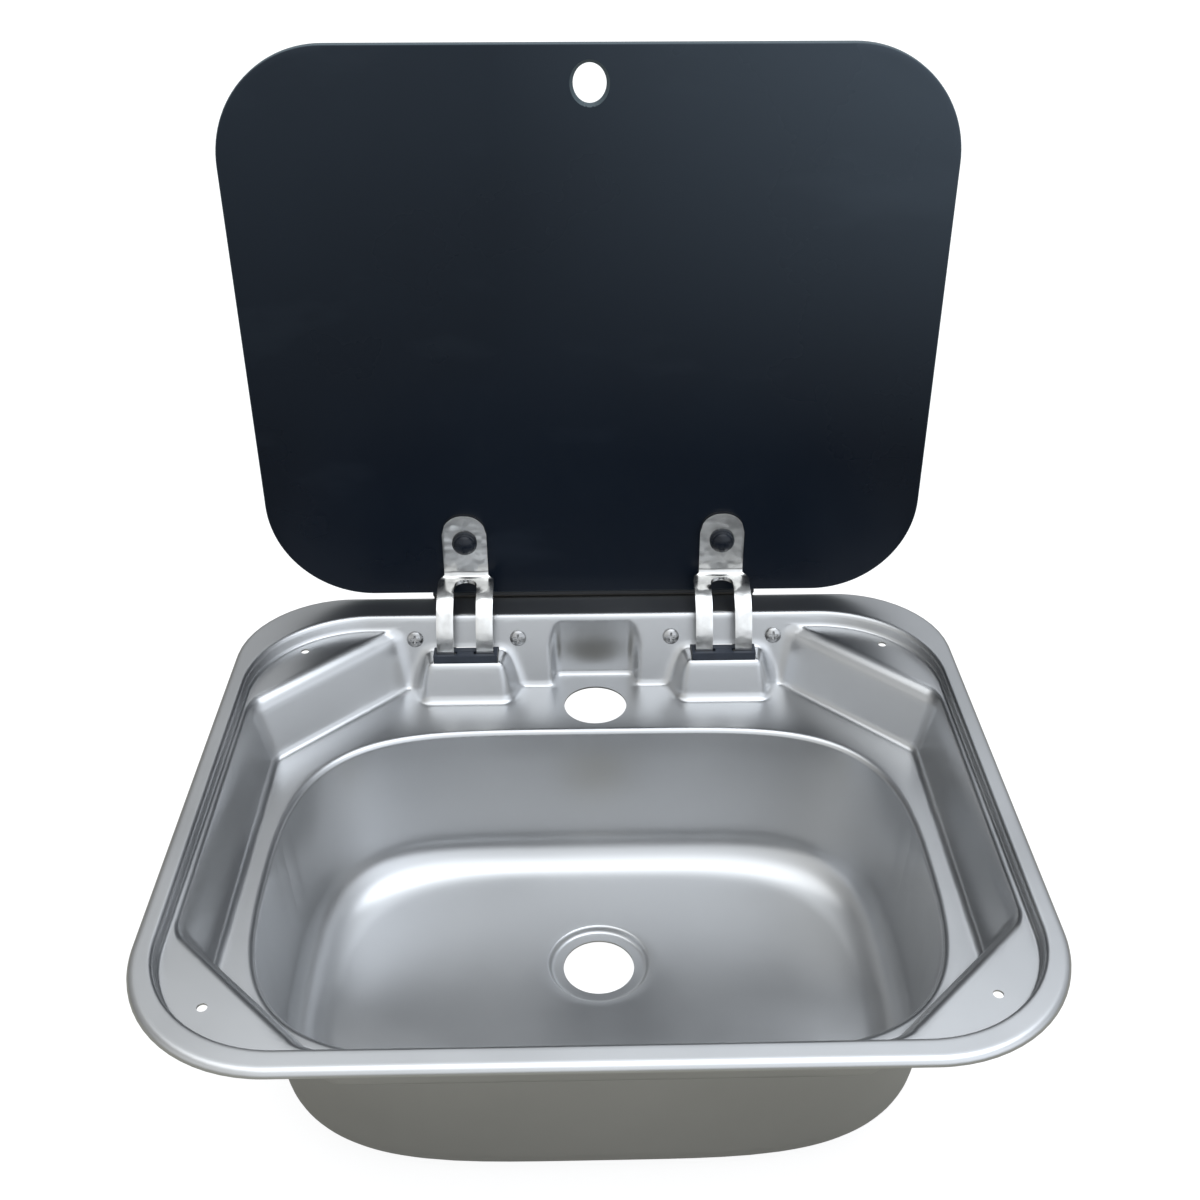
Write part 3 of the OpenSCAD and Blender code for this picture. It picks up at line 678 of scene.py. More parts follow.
# Rings of the deck, walls and ledges, cast from above the bowl lip onto the steel
def well_rings(turns, ends):
    lx, ly = bowl_point(turns, BOWL_A + LIP, BOWL_B + LIP, 0.0, LIP_POWERS)
    base = np.stack([lx, ly], axis=1)
    span = ends - base
    far = np.hypot(span[:, 0], span[:, 1])
    way = span / far[:, None]
    limit = np.arctan2(far, CAST_Z)

    def rays(angle):
        start = np.zeros(angle.shape + (3,))
        start[..., 0] = base[:, 0, None]
        start[..., 1] = base[:, 1, None]
        start[..., 2] = CAST_Z
        ray = np.stack([
            way[:, 0, None] * np.sin(angle), way[:, 1, None] * np.sin(angle), -np.cos(angle),
        ], axis=-1)
        return start, ray

    grid = np.linspace(0, 1, 200)[None, :] * limit[:, None]
    hit = cast(*rays(grid), COARSE_STEPS)
    step = np.diff(hit, axis=1)
    size = np.linalg.norm(step, axis=2)
    unit = step / np.maximum(size, 1e-6)[..., None]
    bend = np.zeros_like(size)
    cosine = np.clip((unit[:, 1:] * unit[:, :-1]).sum(axis=2), -1, 1)
    bend[:, 1:] = np.arccos(cosine)
    bend = (np.roll(bend, 1, axis=1) + bend + np.roll(bend, -1, axis=1)) / 3
    weight = size / RING_LENGTH + bend / RING_BEND + RING_LEAST
    total = np.concatenate([np.zeros((len(turns), 1)), np.cumsum(weight, axis=1)], axis=1)
    wanted = np.linspace(0, 1, WELL_RINGS)
    chosen = np.stack([
        np.interp(wanted * total[i, -1], total[i], grid[i]) / limit[i] for i in range(len(turns))
    ])
    chosen = smooth_round(chosen, 6)
    return cast(*rays(chosen * limit[:, None]), FINE_STEPS), way


# Rings of the flange, from its flat top over the turned-down edge, as insets from the outline
def flange_rings(ends, way):
    rings = []
    spots = [(6.0, 0.0), (4.6, 0.0)]
    spots += [(EDGE_ROUND * (1 - math.sin(t)), -EDGE_DROP * (1 - math.cos(t)))
              for t in np.linspace(0, math.pi / 2, 9)]
    for inset, z in spots:
        low = np.zeros(len(ends))
        high = np.full(len(ends), FLANGE_REACH)
        for _ in range(40):
            mid = (low + high) / 2
            point = ends + way * mid[:, None]
            inside = rect_distance(point[:, 0], point[:, 1], *FLANGE) < -inset
            low = np.where(inside, mid, low)
            high = np.where(inside, high, mid)
        point = ends + way * low[:, None]
        rings.append(np.column_stack([point, np.full(len(ends), z)]))
    return rings


# Rings of the bowl: over its lip, down the wall, through the foot bend, over the floor to the drain
def bowl_rings(turns):
    rings = []
    turn_z = FLOOR_Z + FLOOR_R + FLOOR_DISH
    lip_z = DECK_Z - LIP
    drop = lip_z - turn_z
    lean = (FRONT_DRAFT - REAR_DRAFT) / 2 * drop
    foot_a = BOWL_A - WALL_DRAFT * drop
    foot_b = BOWL_B - (FRONT_DRAFT + REAR_DRAFT) / 2 * drop

    def ring(a, b, shift, powers, z):
        x, y = bowl_point(turns, a, b, shift, powers)
        rings.append(np.column_stack([x, y, np.full(len(turns), z)]))

    for t in np.linspace(math.pi / 2, 0, 8)[1:]:
        out = LIP * (1 - math.cos(t))
        ring(BOWL_A + out, BOWL_B + out, 0.0, LIP_POWERS, lip_z + LIP * math.sin(t))
    for share in (0.25, 0.5, 0.75, 0.94):
        a, b = between((BOWL_A, BOWL_B), (foot_a, foot_b), share)
        ring(a, b, lean * share, between(LIP_POWERS, FOOT_POWERS, share), lip_z - drop * share)
    for t in np.linspace(math.pi / 2, 0, 14):
        inset = FLOOR_R * (1 - math.sin(t))
        share = t / (math.pi / 2)
        powers = between(FLOOR_POWERS, FOOT_POWERS, share)
        ring(foot_a - inset, foot_b - inset, lean, powers, turn_z - FLOOR_R * math.cos(t))
    foot = rings[-1]
    around = np.arctan2(foot[:, 1] - DRAIN_Y, foot[:, 0])
    spokes = np.column_stack([np.cos(around), np.sin(around)])
    brim = SEAT_R + DRAIN_BRIM
    edge = np.column_stack([spokes[:, 0] * brim, DRAIN_Y + spokes[:, 1] * brim])
    foot_z = foot[0, 2]
    for share in (0.12, 0.25, 0.4, 0.55, 0.7, 0.84, 0.94, 1.0):
        flat = foot[:, :2] + (edge - foot[:, :2]) * share
        z = foot_z + (FLOOR_Z - foot_z) * math.sin(share * math.pi / 2)
        rings.append(np.column_stack([flat, np.full(len(turns), z)]))
    seat_z = FLOOR_Z - SEAT_H + SHEET
    profile = [(SEAT_R + 1.0, FLOOR_Z - 0.15), (SEAT_R + 0.4, FLOOR_Z - 0.6), (SEAT_R, FLOOR_Z - 1.4),
               (SEAT_R - 0.3, seat_z + 1.5), (SEAT_R - 0.8, seat_z + 0.6), (SEAT_R - 1.6, seat_z + 0.1),
               (SEAT_R - 3.0, seat_z), (DRAIN_R + 2.5, seat_z), (DRAIN_R, seat_z)]
    for radius, z in profile:
        rings.append(np.column_stack([
            spokes[:, 0] * radius, DRAIN_Y + spokes[:, 1] * radius, np.full(len(turns), z),
        ]))
    return rings


# Faces between neighbouring rings of points
def ring_faces(count, rings, first=0):
    faces = []
    for j in range(rings - 1):
        for i in range(count):
            k = (i + 1) % count
            low, high = first + j * count, first + (j + 1) * count
            faces.append((low + i, low + k, high + k, high + i))
    return faces


# Faces that close the first and the last ring
def cap_faces(count, rings, first=0):
    last = first + (rings - 1) * count
    return [[first + i for i in range(count)][::-1], [last + i for i in range(count)]]


def new_object(name, points, faces):
    mesh = bpy.data.meshes.new(name)
    mesh.from_pydata([tuple(point) for point in points], [], faces)
    mesh.validate()
    made = bpy.data.objects.new(name, mesh)
    scene.collection.objects.link(made)
    return made


def baked(made):
    graph = bpy.context.evaluated_depsgraph_get()
    mesh = bpy.data.meshes.new_from_object(made.evaluated_get(graph))
    mesh.name = made.name
    made.modifiers.clear()
    made.data = mesh


# Closed cylinder about a centre, reaching as far along its axis both ways, added to lists
def add_rod(points, faces, centre, axis, radius, reach, sides):
    axis = Vector(axis).normalized()
    across = axis.orthogonal().normalized()
    other = axis.cross(across)
    first = len(points)
    for end in (-reach, reach):
        for i in range(sides):
            turn = 2 * math.pi * i / sides
            spot = Vector(centre) + axis * end + (across * math.cos(turn) + other * math.sin(turn)) * radius
            points.append(tuple(spot * MM))
    faces += cap_faces(sides, 2, first)
    faces += ring_faces(sides, 2, first)


def add_block(points, faces, low, high):
    first = len(points)
    for x in (low[0], high[0]):
        for y in (low[1], high[1]):
            for z in (low[2], high[2]):
                points.append((x * MM, y * MM, z * MM))
    for face in ((0, 1, 3, 2), (4, 6, 7, 5), (0, 4, 5, 1), (2, 3, 7, 6), (0, 2, 6, 4), (1, 5, 7, 3)):
        faces.append([first + i for i in face])


# Cut a closed shape out of a piece, or join it
def combine(made, operation, points, faces):
    tool = new_object("tool", points, faces)
    step = made.modifiers.new("step", "BOOLEAN")
    step.operation = operation
    step.solver = "EXACT"
    step.object = tool
    baked(made)
    bpy.data.objects.remove(tool)


def cut_out(made, points, faces):
    combine(made, "DIFFERENCE", points, faces)


def make_shell():
    turns, ends = make_stations()
    inner, way = well_rings(turns, ends)
    rings = flange_rings(ends, way)[::-1]
    rings += [inner[:, j] for j in range(inner.shape[1] - 1, -1, -1)]
    rings += bowl_rings(turns)
    points = np.concatenate(rings) * MM
    faces = [face[::-1] for face in ring_faces(len(turns), len(rings))]
    shell = new_object("pressed_sink", points, faces)
    solid = shell.modifiers.new("sheet", "SOLIDIFY")
    solid.thickness = SHEET * MM
    solid.offset = -1.0
    baked(shell)
    points, faces = [], []
    for x in (-1, 1):
        for y in (-1, 1):
            spot = (x * CORNER_HOLE_X, CORNER_HOLE_MID + y * CORNER_HOLE_Y, LEDGE_Z)
            add_rod(points, faces, spot, (0, 0, 1), SMALL_HOLE_R, CUT_REACH, 24)
    add_rod(points, faces, (0, TAP_Y, DECK_Z), (0, 0, 1), TAP_R, CUT_REACH, 96)
    lean = math.atan(REAR_SLOPE)
    for side in (-1, 1):
        for screw in (-SCREW_GAP / 2, SCREW_GAP / 2):
            spot = (side * HINGE_X + screw, OPEN_REAR - REAR_SLOPE * SCREW_DROP, -SCREW_DROP)
            add_rod(points, faces, spot, (0, -math.cos(lean), math.sin(lean)), SMALL_HOLE_R, CUT_REACH, 24)
        low = (side * HINGE_X - SLOT_HALF, SLOT_Y[0], SLOT_Z[0])
        high = (side * HINGE_X + SLOT_HALF, SLOT_Y[1], SLOT_Z[1])
        add_block(points, faces, low, high)
    cut_out(shell, points, faces)
    return shell


# Shut-lid place about the pin (u to the rear, w up) turned to the open lid
def opened(x, u, w):
    c, t = math.cos(OPEN_ANGLE), math.sin(OPEN_ANGLE)
    return x * MM, (PIN_Y + u * c + w * t) * MM, (PIN_Z - u * t + w * c) * MM


def opened_mm(x, u, w):
    return [value / MM for value in opened(x, u, w)]


# Middle line of the arm strip: lengths along it, and its places as (u, w)
def arm_path():
    spots = [(TAB_START - TAB_LEN, TAB_MID), (TAB_START, TAB_MID)]

    def arc(cu, cw, radius, first, last, count):
        for i in range(1, count + 1):
            turn = math.radians(first + (last - first) * i / count)
            spots.append((cu + radius * math.cos(turn), cw + radius * math.sin(turn)))

    arc(TAB_START, TAB_MID - BEND_R, BEND_R, 90, 0, 24)
    spots.append((-BOW_R, 0.0))
    arc(0.0, 0.0, BOW_R, 180, 270, 60)
    spots.append((EYE_MID - HEEL_R, -BOW_R))
    arc(EYE_MID - HEEL_R, HEEL_R - BOW_R, HEEL_R, 270, 360, 12)
    spots.append((EYE_MID, 0.0))
    arc(0.0, 0.0, EYE_MID, 0, 285, 48)
    run = [0.0]
    for first, second in zip(spots, spots[1:]):
        run.append(run[-1] + math.dist(first, second))
    return np.array(run), np.array(spots)


# Strip with a round tip and an arched slot between its legs, bent along the path
def make_strip(name, centre, run, spots, last_row, thick, lift):
    slot_at = TAB_LEN + BEND_R * math.radians(SLOT_TURN)
    arch_at = slot_at + LEG_IN
    sides = np.linspace(0, 1, 5)
    arch = np.sin(np.linspace(-math.pi / 2, math.pi / 2, 13))[1:-1]

    def half(s):
        wide = np.clip((s - TAB_LEN - WIDEN_AT) / WIDEN_RUN, 0, 1)
        return TAB_HALF + (LEG_OUT - TAB_HALF) * wide * wide * (3 - 2 * wide)

    def place(x, s):
        u = np.interp(s, run, spots[:, 0])
        w = np.interp(s, run, spots[:, 1]) + lift
        return opened(centre + x, u, w)

    columns = [-1 - t for t in sides[::-1]] + list(arch) + [1 + t for t in sides]

    def across(column, s):
        if abs(column) <= 1:
            return LEG_IN * column
        return math.copysign(LEG_IN + (half(s) - LEG_IN) * (abs(column) - 1), column)

    points, faces, rows = [], [], []
    tip_end = 15.0
    for share in np.linspace(0, 1, 9):
        row = []
        for column in columns:
            x = across(column, 0.0)
            over = max(0.0, abs(x) - TAB_HALF + TAB_ROUND)
            tip = TAB_ROUND - math.sqrt(max(0.0, TAB_ROUND ** 2 - over ** 2))
            row.append((x, tip + (tip_end - tip) * share))
        rows.append(row)
    steps = [22, 30, 36, TAB_LEN] + [TAB_LEN + BEND_R * math.radians(a) for a in range(6, 79, 6)]
    for s in steps:
        if s <= last_row:
            rows.append([(across(column, s), s) for column in columns])
    full = len(rows)
    if last_row > arch_at:
        start = steps[-1]
        for share in (0.34, 0.67, 1.0):
            row = []
            for column in columns:
                inner = min(1.0, abs(column))
                stop = arch_at - LEG_IN * math.sqrt(1 - inner * inner)
                s = start + (stop - start) * share
                row.append((across(column, s), s))
            rows.append(row)
        full = len(rows)
        for s in np.linspace(arch_at, last_row, 110)[1:]:
            rows.append([(across(column, s), s) for column in columns])
    width = len(columns)
    for row in rows:
        points += [place(x, s) for x, s in row]
    for r in range(len(rows) - 1):
        for c in range(width - 1):
            middle = abs(columns[c] + columns[c + 1]) < 2
            if r >= full - 1 and middle:
                continue
            a = r * width + c
            faces.append((a, a + 1, a + width + 1, a + width))
    used = sorted({i for face in faces for i in face})
    place_of = {old: new for new, old in enumerate(used)}
    made = new_object(name, [points[i] for i in used], [[place_of[i] for i in face] for face in faces])
    solid = made.modifiers.new("strip", "SOLIDIFY")
    solid.thickness = thick * MM
    solid.offset = 0.0
    solid.use_even_offset = True
    baked(made)
    points, faces = [], []
    add_rod(points, faces, opened_mm(centre, BOLT_U, TAB_MID + lift), LID_UP, ARM_HOLE_R, ARM_HOLE_REACH, 32)
    cut_out(made, points, faces)
    round_edges(made, min(ARM_EDGE, thick / 4), 55)
    return made


# Round edges that are sharper than an angle in degrees
def round_edges(made, width, angle):
    bevel = made.modifiers.new("edges", "BEVEL")
    bevel.width = width * MM
    bevel.segments = 3
    bevel.limit_method = "ANGLE"
    bevel.angle_limit = math.radians(angle)
    baked(made)


# Turned shape: rings of (radius, height) about an axis through a spot, made wider by two amounts
def add_turned(points, faces, spot, axis, profile, widen, sides):
    axis = Vector(axis).normalized()
    across = Vector((1, 0, 0))
    other = axis.cross(across)
    first = len(points)
    for radius, height in profile:
        for i in range(sides):
            turn = 2 * math.pi * i / sides
            side = across * math.cos(turn) * (radius + widen[0])
            side += other * math.sin(turn) * (radius + widen[1])
            points.append(tuple((Vector(spot) + axis * height + side) * MM))
    faces += ring_faces(sides, len(profile), first)
    faces += cap_faces(sides, len(profile), first)


# Glass with rounded ground edges, an oval finger hole and two bolt holes
def make_lid():
    mid_y, hy = (GLASS_FRONT + GLASS_REAR) / 2, (GLASS_REAR - GLASS_FRONT) / 2
    mid_w = (GLASS_LOW + GLASS_TOP) / 2 - PIN_Z
    profile = [(4.0, 0.0), (0.9, 0.0), (0.5, 0.1), (0.2, 0.35), (0.0, 0.9)]
    profile += [(inset, GLASS_TOP - GLASS_LOW - down) for inset, down in profile[::-1]]
    points = []
    corner = 28
    for inset, up in profile:
        for qx, qy, first in ((1, 1, 0), (-1, 1, 90), (-1, -1, 180), (1, -1, 270)):
            for i in range(corner + 1):
                turn = math.radians(first + 90 * i / corner)
                reach = GLASS_R - inset
                x = qx * (GLASS_HX - GLASS_R) + reach * math.cos(turn)
                y = mid_y + qy * (hy - GLASS_R) + reach * math.sin(turn)
                points.append(opened(x, y - PIN_Y, GLASS_LOW + up - PIN_Z))
    count = 4 * (corner + 1)
    faces = ring_faces(count, len(profile)) + cap_faces(count, len(profile))
    lid = new_object("glass_pane", points, faces)
    points, faces = [], []
    hole = opened_mm(0, GLASS_FRONT + FINGER_IN - PIN_Y, mid_w)
    flare = [(3.0, -3.4), (1.7, -2.5), (1.1, -1.75), (0.3, -1.0), (0.0, -0.5),
             (0.0, 0.5), (0.3, 1.0), (1.1, 1.75), (1.7, 2.5), (3.0, 3.4)]
    add_turned(points, faces, hole, LID_UP, flare, FINGER_HALF, 72)
    for side in (-1, 1):
        spot = opened_mm(side * HINGE_X, BOLT_U, mid_w)
        add_rod(points, faces, spot, LID_UP, BOLT_HOLE_R, CUT_REACH, 48)
    cut_out(lid, points, faces)
    return lid


# Wedge seal behind the glass, round about the pin below, with a lip over the gap to the flange
def make_seal():
    front, low, top = GLASS_REAR - PIN_Y, GLASS_LOW + 0.1 - PIN_Z, GLASS_TOP - 0.1 - PIN_Z
    first = math.pi - math.asin(low / SEAL_CLEAR_R)
    last = math.acos((SEAL_TIP_Y - PIN_Y) / SEAL_CLEAR_R)
    profile = [(front, low)]
    for turn in np.linspace(first, last, 9):
        profile.append((SEAL_CLEAR_R * math.cos(turn), SEAL_CLEAR_R * math.sin(turn)))
    lip = [(SEAL_TIP_Y, -0.55), (159.2, -0.3), (161.2, 0.1), (161.35, 0.3), (161.2, 0.5), (158.4, 0.5),
           (157.9, 0.3), (157.4, -0.4)]
    profile += [(y - PIN_Y, z - PIN_Z) for y, z in lip]
    profile.append((front, top))
    points = [opened(x, u, w) for x in (-SEAL_HALF, SEAL_HALF) for u, w in profile]
    count = len(profile)
    return new_object("lip_seal", points, ring_faces(count, 2) + cap_faces(count, 2))


# Domed cap nut with a washer face, as rings of (radius, height), and its bore
def make_nut(side, x):
    points, faces = [], []
    profile = [(0.0, 0.0), (7.2, 0.0), (7.5, 0.25), (7.5, 1.5), (7.35, 1.75), (6.9, 1.9)]
    profile += [(6.8 * math.cos(t), 2.1 + 5.0 * math.sin(t)) for t in np.linspace(0.0, 1.5, 12)]
    base = opened_mm(x, BOLT_U, TAB_MID - ARM_T / 2)
    axis = (0, -LID_UP[1], -LID_UP[2])
    add_turned(points, faces, base, axis, [(max(radius, 0.05), up) for radius, up in profile], (0.0, 0.0), 48)
    made = new_object("cap_nut_turned_" + side, points, faces)
    points, faces = [], []
    add_rod(points, faces, base, axis, NUT_BORE_R, NUT_BORE_REACH, 32)
    cut_out(made, points, faces)
    return made


# Pan head screw along +Z from the sheet, with a cross recess and softened edges
def make_screw():
    points, faces = [], []
    profile = [(0.05, -10.9), (1.3, -10.9), (1.97, -10.2), (1.97, 0.0), (4.7, 0.0), (4.9, 0.2), (4.9, 1.2),
               (4.75, 1.5), (4.4, 1.89), (3.5, 2.36), (2.4, 2.76), (1.2, 3.02), (0.05, 3.1)]
    add_turned(points, faces, (0, 0, 0), (0, 0, 1), profile, (0.0, 0.0), 40)
    made = new_object("pan_screw", points, faces)
    for half_x, half_y in (CROSS_HALF, CROSS_HALF[::-1]):
        points, faces = [], []
        add_block(points, faces, (-half_x, -half_y, CROSS_Z[0]), (half_x, half_y, CROSS_Z[1]))
        cut_out(made, points, faces)
    round_edges(made, SCREW_EDGE, 40)
    return made


# Geometry nodes: copies of a screw in a row along X, all turned by one lean
def screw_row_tree():
    tree = bpy.data.node_groups.new("screw_row", "GeometryNodeTree")
    inputs = {"Screw": "Object", "First": "Vector", "Spacing": "Float", "Count": "Int", "Lean": "Float",
              "Finish": "Material"}
    for label, kind in inputs.items():
        tree.interface.new_socket(label, in_out="INPUT", socket_type="NodeSocket" + kind)
    tree.interface.new_socket("Geometry", in_out="OUTPUT", socket_type="NodeSocketGeometry")
    gin = add(tree, "NodeGroupInput")
    gout = add(tree, "NodeGroupOutput")
    row = add(tree, "GeometryNodeMeshLine")
    step = add(tree, "ShaderNodeCombineXYZ")
    turn = add(tree, "ShaderNodeCombineXYZ")
    info = add(tree, "GeometryNodeObjectInfo")
    copies = add(tree, "GeometryNodeInstanceOnPoints")
    real = add(tree, "GeometryNodeRealizeInstances")
    paint = add(tree, "GeometryNodeSetMaterial")
    wire(
        tree,
        (gin, "Count", row, "Count"), (gin, "First", row, "Start Location"), (gin, "Spacing", step, "X"),
        (step, 0, row, "Offset"), (gin, "Screw", info, "Object"), (gin, "Lean", turn, "X"),
        (row, "Mesh", copies, "Points"), (info, "Geometry", copies, "Instance"),
        (turn, 0, copies, "Rotation"), (copies, 0, real, "Geometry"), (real, 0, paint, "Geometry"),
        (gin, "Finish", paint, "Material"), (paint, 0, gout, "Geometry"),
    )
    return tree


def make_screws(side, x, tree, screw):
    made = new_object("pan_screws_" + side, [(0, 0, 0)], [])
    row = made.modifiers.new("row", "NODES")
    row.node_group = tree
    first = ((x - SCREW_GAP / 2) * MM, (OPEN_REAR - REAR_SLOPE * SCREW_DROP) * MM, -SCREW_DROP * MM)
    values = {"Screw": screw, "First": first, "Spacing": SCREW_GAP * MM, "Count": 2,
              "Lean": math.pi / 2 - math.atan(REAR_SLOPE), "Finish": SCREW_STEEL}
    for item in tree.interface.items_tree:
        if item.name in values:
            row[item.identifier] = values[item.name]
    baked(made)
    return made


# Moulded bracket: the plain block with a stepped web between the legs
def make_bracket(side, x):
    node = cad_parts["hinge_bracket_" + side]
    made = bpy.data.objects.new("bracket_moulded_" + side, node.data.copy())
    scene.collection.objects.link(made)
    merged = bmesh.new()
    merged.from_mesh(made.data)
    bmesh.ops.remove_doubles(merged, verts=merged.verts, dist=WELD)
    merged.to_mesh(made.data)
    merged.free()
    for half, front, rear, low, top in WEB_STEPS:
        points, faces = [], []
        add_block(points, faces, (x - half, front, low), (x + half, rear, top))
        combine(made, "UNION", points, faces)
    return made


PAINT = {
    "sink_shell": SINK_STEEL, "glass_lid": TINTED_GLASS, "rear_edge_seal": RUBBER,
    "hinge_arm": BRIGHT_STEEL, "hinge_bracket": DARK_PLASTIC, "hinge_pin": PIN_STEEL,
    "pin_clips": CLIP_STEEL, "spacer_bush": NATURAL_PLASTIC, "bracket_screws": SCREW_STEEL,
    "lid_bolt": BRIGHT_STEEL, "bolt_sleeve": RUBBER, "tab_pad": RUBBER, "cap_nut": CAP_PLASTIC,
}


def paint_nodes():
    for name, node in list(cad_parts.items()):
        base = name.replace("_left", "").replace("_right", "")
        node.data.materials.clear()
        node.data.materials.append(PAINT[base])
        split = node.modifiers.new("split", "EDGE_SPLIT")
        split.split_angle = math.radians(SPLIT_PLAIN)
        for face in node.data.polygons:
            face.use_smooth = True


# Share of a ray that meets the white background: all of it for the camera, a part for gloss
def white_share(tree, gloss):
    path = add(tree, "ShaderNodeLightPath")
    shine = math_node(tree, "MULTIPLY", path.outputs["Is Glossy Ray"], gloss)
    seen = math_node(tree, "MAXIMUM", path.outputs["Is Camera Ray"], path.outputs["Is Transmission Ray"])
    return math_node(tree, "MAXIMUM", seen, shine)


# White floor that keeps a faint shadow; gloss sees some of its white
def make_floor():
    mesh = bpy.data.meshes.new("floor")
    corners = [(x * FLOOR_REACH, y * FLOOR_REACH, 0) for x, y in ((-1, -1), (1, -1), (1, 1), (-1, 1))]
    mesh.from_pydata(corners, [], [(0, 1, 2, 3)])
    floor = bpy.data.objects.new("floor", mesh)
    floor.location.z = GROUND_Z - FLOOR_GAP
    scene.collection.objects.link(floor)
    made = bpy.data.materials.new("floor")
    made.use_nodes = True
    tree = made.node_tree
    tree.nodes.clear()
    seen = add(tree, "ShaderNodeEmission")
    seen.inputs["Color"].default_value = FLOOR_SEEN
    pale = add(tree, "ShaderNodeBsdfDiffuse")
    pale.inputs["Color"].default_value = FLOOR_PALE
    lit = add(tree, "ShaderNodeAddShader")
    dull = add(tree, "ShaderNodeBsdfDiffuse")
    dull.inputs["Color"].default_value = FLOOR_DULL
    mix = add(tree, "ShaderNodeMixShader")
    out = add(tree, "ShaderNodeOutputMaterial")
    tree.links.new(white_share(tree, FLOOR_GLOSS), mix.inputs["Fac"])
    wire(tree, (seen, 0, lit, 0), (pale, 0, lit, 1), (dull, 0, mix, 1), (lit, 0, mix, 2))
    wire(tree, (mix, 0, out, "Surface"))
    mesh.materials.append(made)


# Brightness of the sky from straight down (0) over the horizon (0.5) to straight up (1)
SKY_BACK = (
    (0.0, 0.13), (0.5, 0.12), (0.57, 0.22), (0.66, 0.46), (0.82, 0.5), (0.89, 0.66), (0.93, 3.1), (1.0, 2.6),
)
SKY_FRONT = (
    (0.0, 0.14), (0.46, 0.26), (0.53, 0.92), (0.7, 1.4), (0.88, 1.25), (0.95, 1.5), (1.0, 1.7),
)
SKY_LEFT = (0.66, 0.674, 0.677, 1.0)
SKY_RIGHT = (1.1, 1.17, 1.26, 1.0)
SKY_WHITE = (1.0, 1.0, 1.0, 1.0)

# Directions between which the rear sky turns into the front sky (y), and left into right (x)
SKY_TURN = (0.25, -0.55)
SKY_SIDE = (-0.7, 0.7)

# Soft light overhead: place, sizes in metres, power in watts and colour
LIGHT_AT = (0.3, -0.3, 2.2)
LIGHT_X = 2.4
LIGHT_Y = 2.0
LIGHT_POWER = 7.0
LIGHT_COLOUR = (0.95, 0.98, 1.0)


def sky_ramp(tree, stops):
    ramp = add(tree, "ShaderNodeValToRGB")
    for place, level in stops[1:-1]:
        ramp.color_ramp.elements.new(place)
    for element, (place, level) in zip(ramp.color_ramp.elements, stops):
        element.position = place
        element.color = (level, level, level, 1.0)
    return ramp


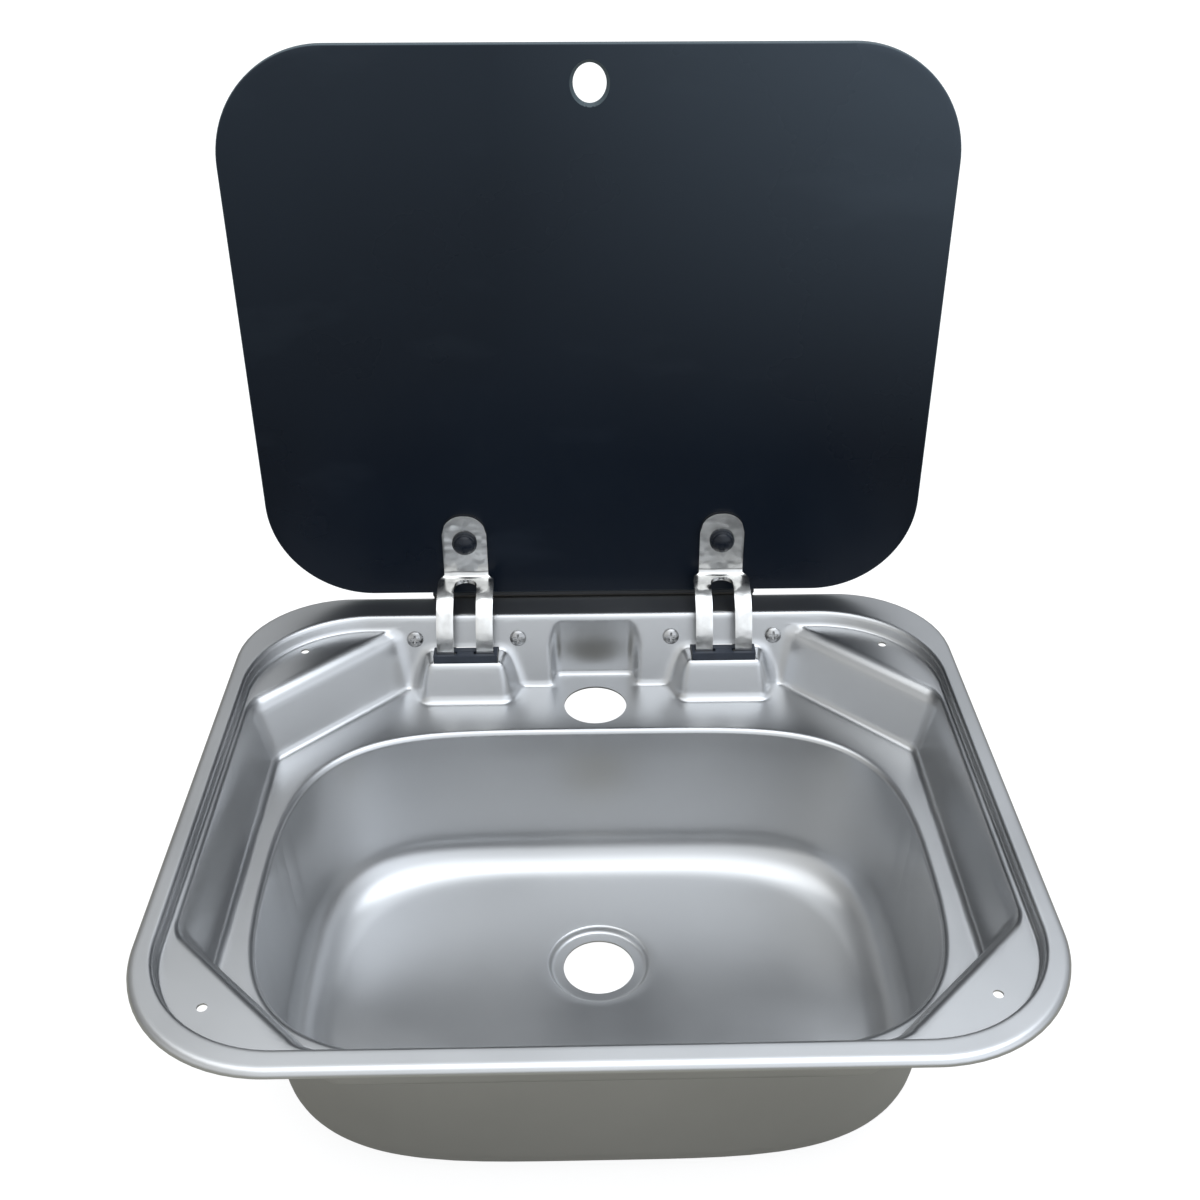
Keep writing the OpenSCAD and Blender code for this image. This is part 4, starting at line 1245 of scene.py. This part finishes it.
# Sky: bright overhead, dull to the left, paler and bluer to the right
def make_world():
    world = bpy.data.worlds.new("world")
    scene.world = world
    world.use_nodes = True
    tree = world.node_tree
    tree.nodes.clear()
    coords = add(tree, "ShaderNodeTexCoord")
    split = add(tree, "ShaderNodeSeparateXYZ")
    back = sky_ramp(tree, SKY_BACK)
    front = sky_ramp(tree, SKY_FRONT)
    background = add(tree, "ShaderNodeBackground")
    white = add(tree, "ShaderNodeBackground")
    mix = add(tree, "ShaderNodeMixShader")
    out = add(tree, "ShaderNodeOutputWorld")
    smooth = {"interpolation_type": "SMOOTHSTEP"}
    wire(tree, (coords, "Generated", split, 0))
    up = ranged(tree, split.outputs["Z"], (-1.0, 1.0))
    tree.links.new(up, back.inputs["Fac"])
    tree.links.new(up, front.inputs["Fac"])
    facing = ranged(tree, split.outputs["Y"], SKY_TURN, **smooth)
    level = mixed(tree, "RGBA", facing, back.outputs["Color"], front.outputs["Color"])
    side = ranged(tree, split.outputs["X"], SKY_SIDE, **smooth)
    tint = mixed(tree, "RGBA", side, SKY_LEFT, SKY_RIGHT)
    product = mixed(tree, "RGBA", 1.0, level, tint, blend_type="MULTIPLY")
    tree.links.new(product, background.inputs["Color"])
    white.inputs["Color"].default_value = SKY_WHITE
    tree.links.new(white_share(tree, SKY_GLOSS), mix.inputs["Fac"])
    wire(tree, (background, 0, mix, 1), (white, 0, mix, 2), (mix, 0, out, "Surface"))


def make_light():
    data = bpy.data.lights.new("sky_light", "AREA")
    data.shape = "RECTANGLE"
    data.size = LIGHT_X
    data.size_y = LIGHT_Y
    data.energy = LIGHT_POWER
    data.color = LIGHT_COLOUR
    light = bpy.data.objects.new("sky_light", data)
    light.location = LIGHT_AT
    light.rotation_euler = (-Vector(LIGHT_AT)).to_track_quat("-Z", "Y").to_euler()
    light.visible_camera = False
    scene.collection.objects.link(light)


# Paint a new piece, let it ride on its body and take the place of a plain node
def dress(made, paint, body, node):
    made.data.materials.clear()
    made.data.materials.append(paint)
    for face in made.data.polygons:
        face.use_smooth = face.area < FLAT_AREA
    split = made.modifiers.new("split", "EDGE_SPLIT")
    split.split_angle = math.radians(SPLIT_NEW)
    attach(made, body)
    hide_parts(node)


def make_pieces():
    dress(make_shell(), SINK_STEEL, "sink", "sink_shell")
    dress(make_lid(), TINTED_GLASS, "lid", "glass_lid")
    dress(make_seal(), RUBBER, "lid", "rear_edge_seal")
    run, spots = arm_path()
    screw = make_screw()
    tree = screw_row_tree()
    for side, x in (("left", -HINGE_X), ("right", HINGE_X)):
        arm = make_strip("arm_strip_" + side, x, run, spots, run[-1], ARM_T, 0.0)
        dress(arm, BRIGHT_STEEL, "lid", "hinge_arm_" + side)
        pad_lift = ARM_T / 2 + PAD_T / 2
        pad = make_strip("pad_sheet_" + side, x, run, spots, TAB_LEN, PAD_T, pad_lift)
        dress(pad, RUBBER, "lid", "tab_pad_" + side)
        dress(make_nut(side, x), CAP_PLASTIC, "lid", "cap_nut_" + side)
        bracket = make_bracket(side, x)
        dress(bracket, DARK_PLASTIC, "sink", "hinge_bracket_" + side)
        screws = make_screws(side, x, tree, screw)
        dress(screws, SCREW_STEEL, "sink", "bracket_screws_" + side)
    bpy.data.objects.remove(screw)


make_camera()
paint_nodes()
make_pieces()
make_floor()
make_world()
make_light()
scene.view_settings.view_transform = "Standard"
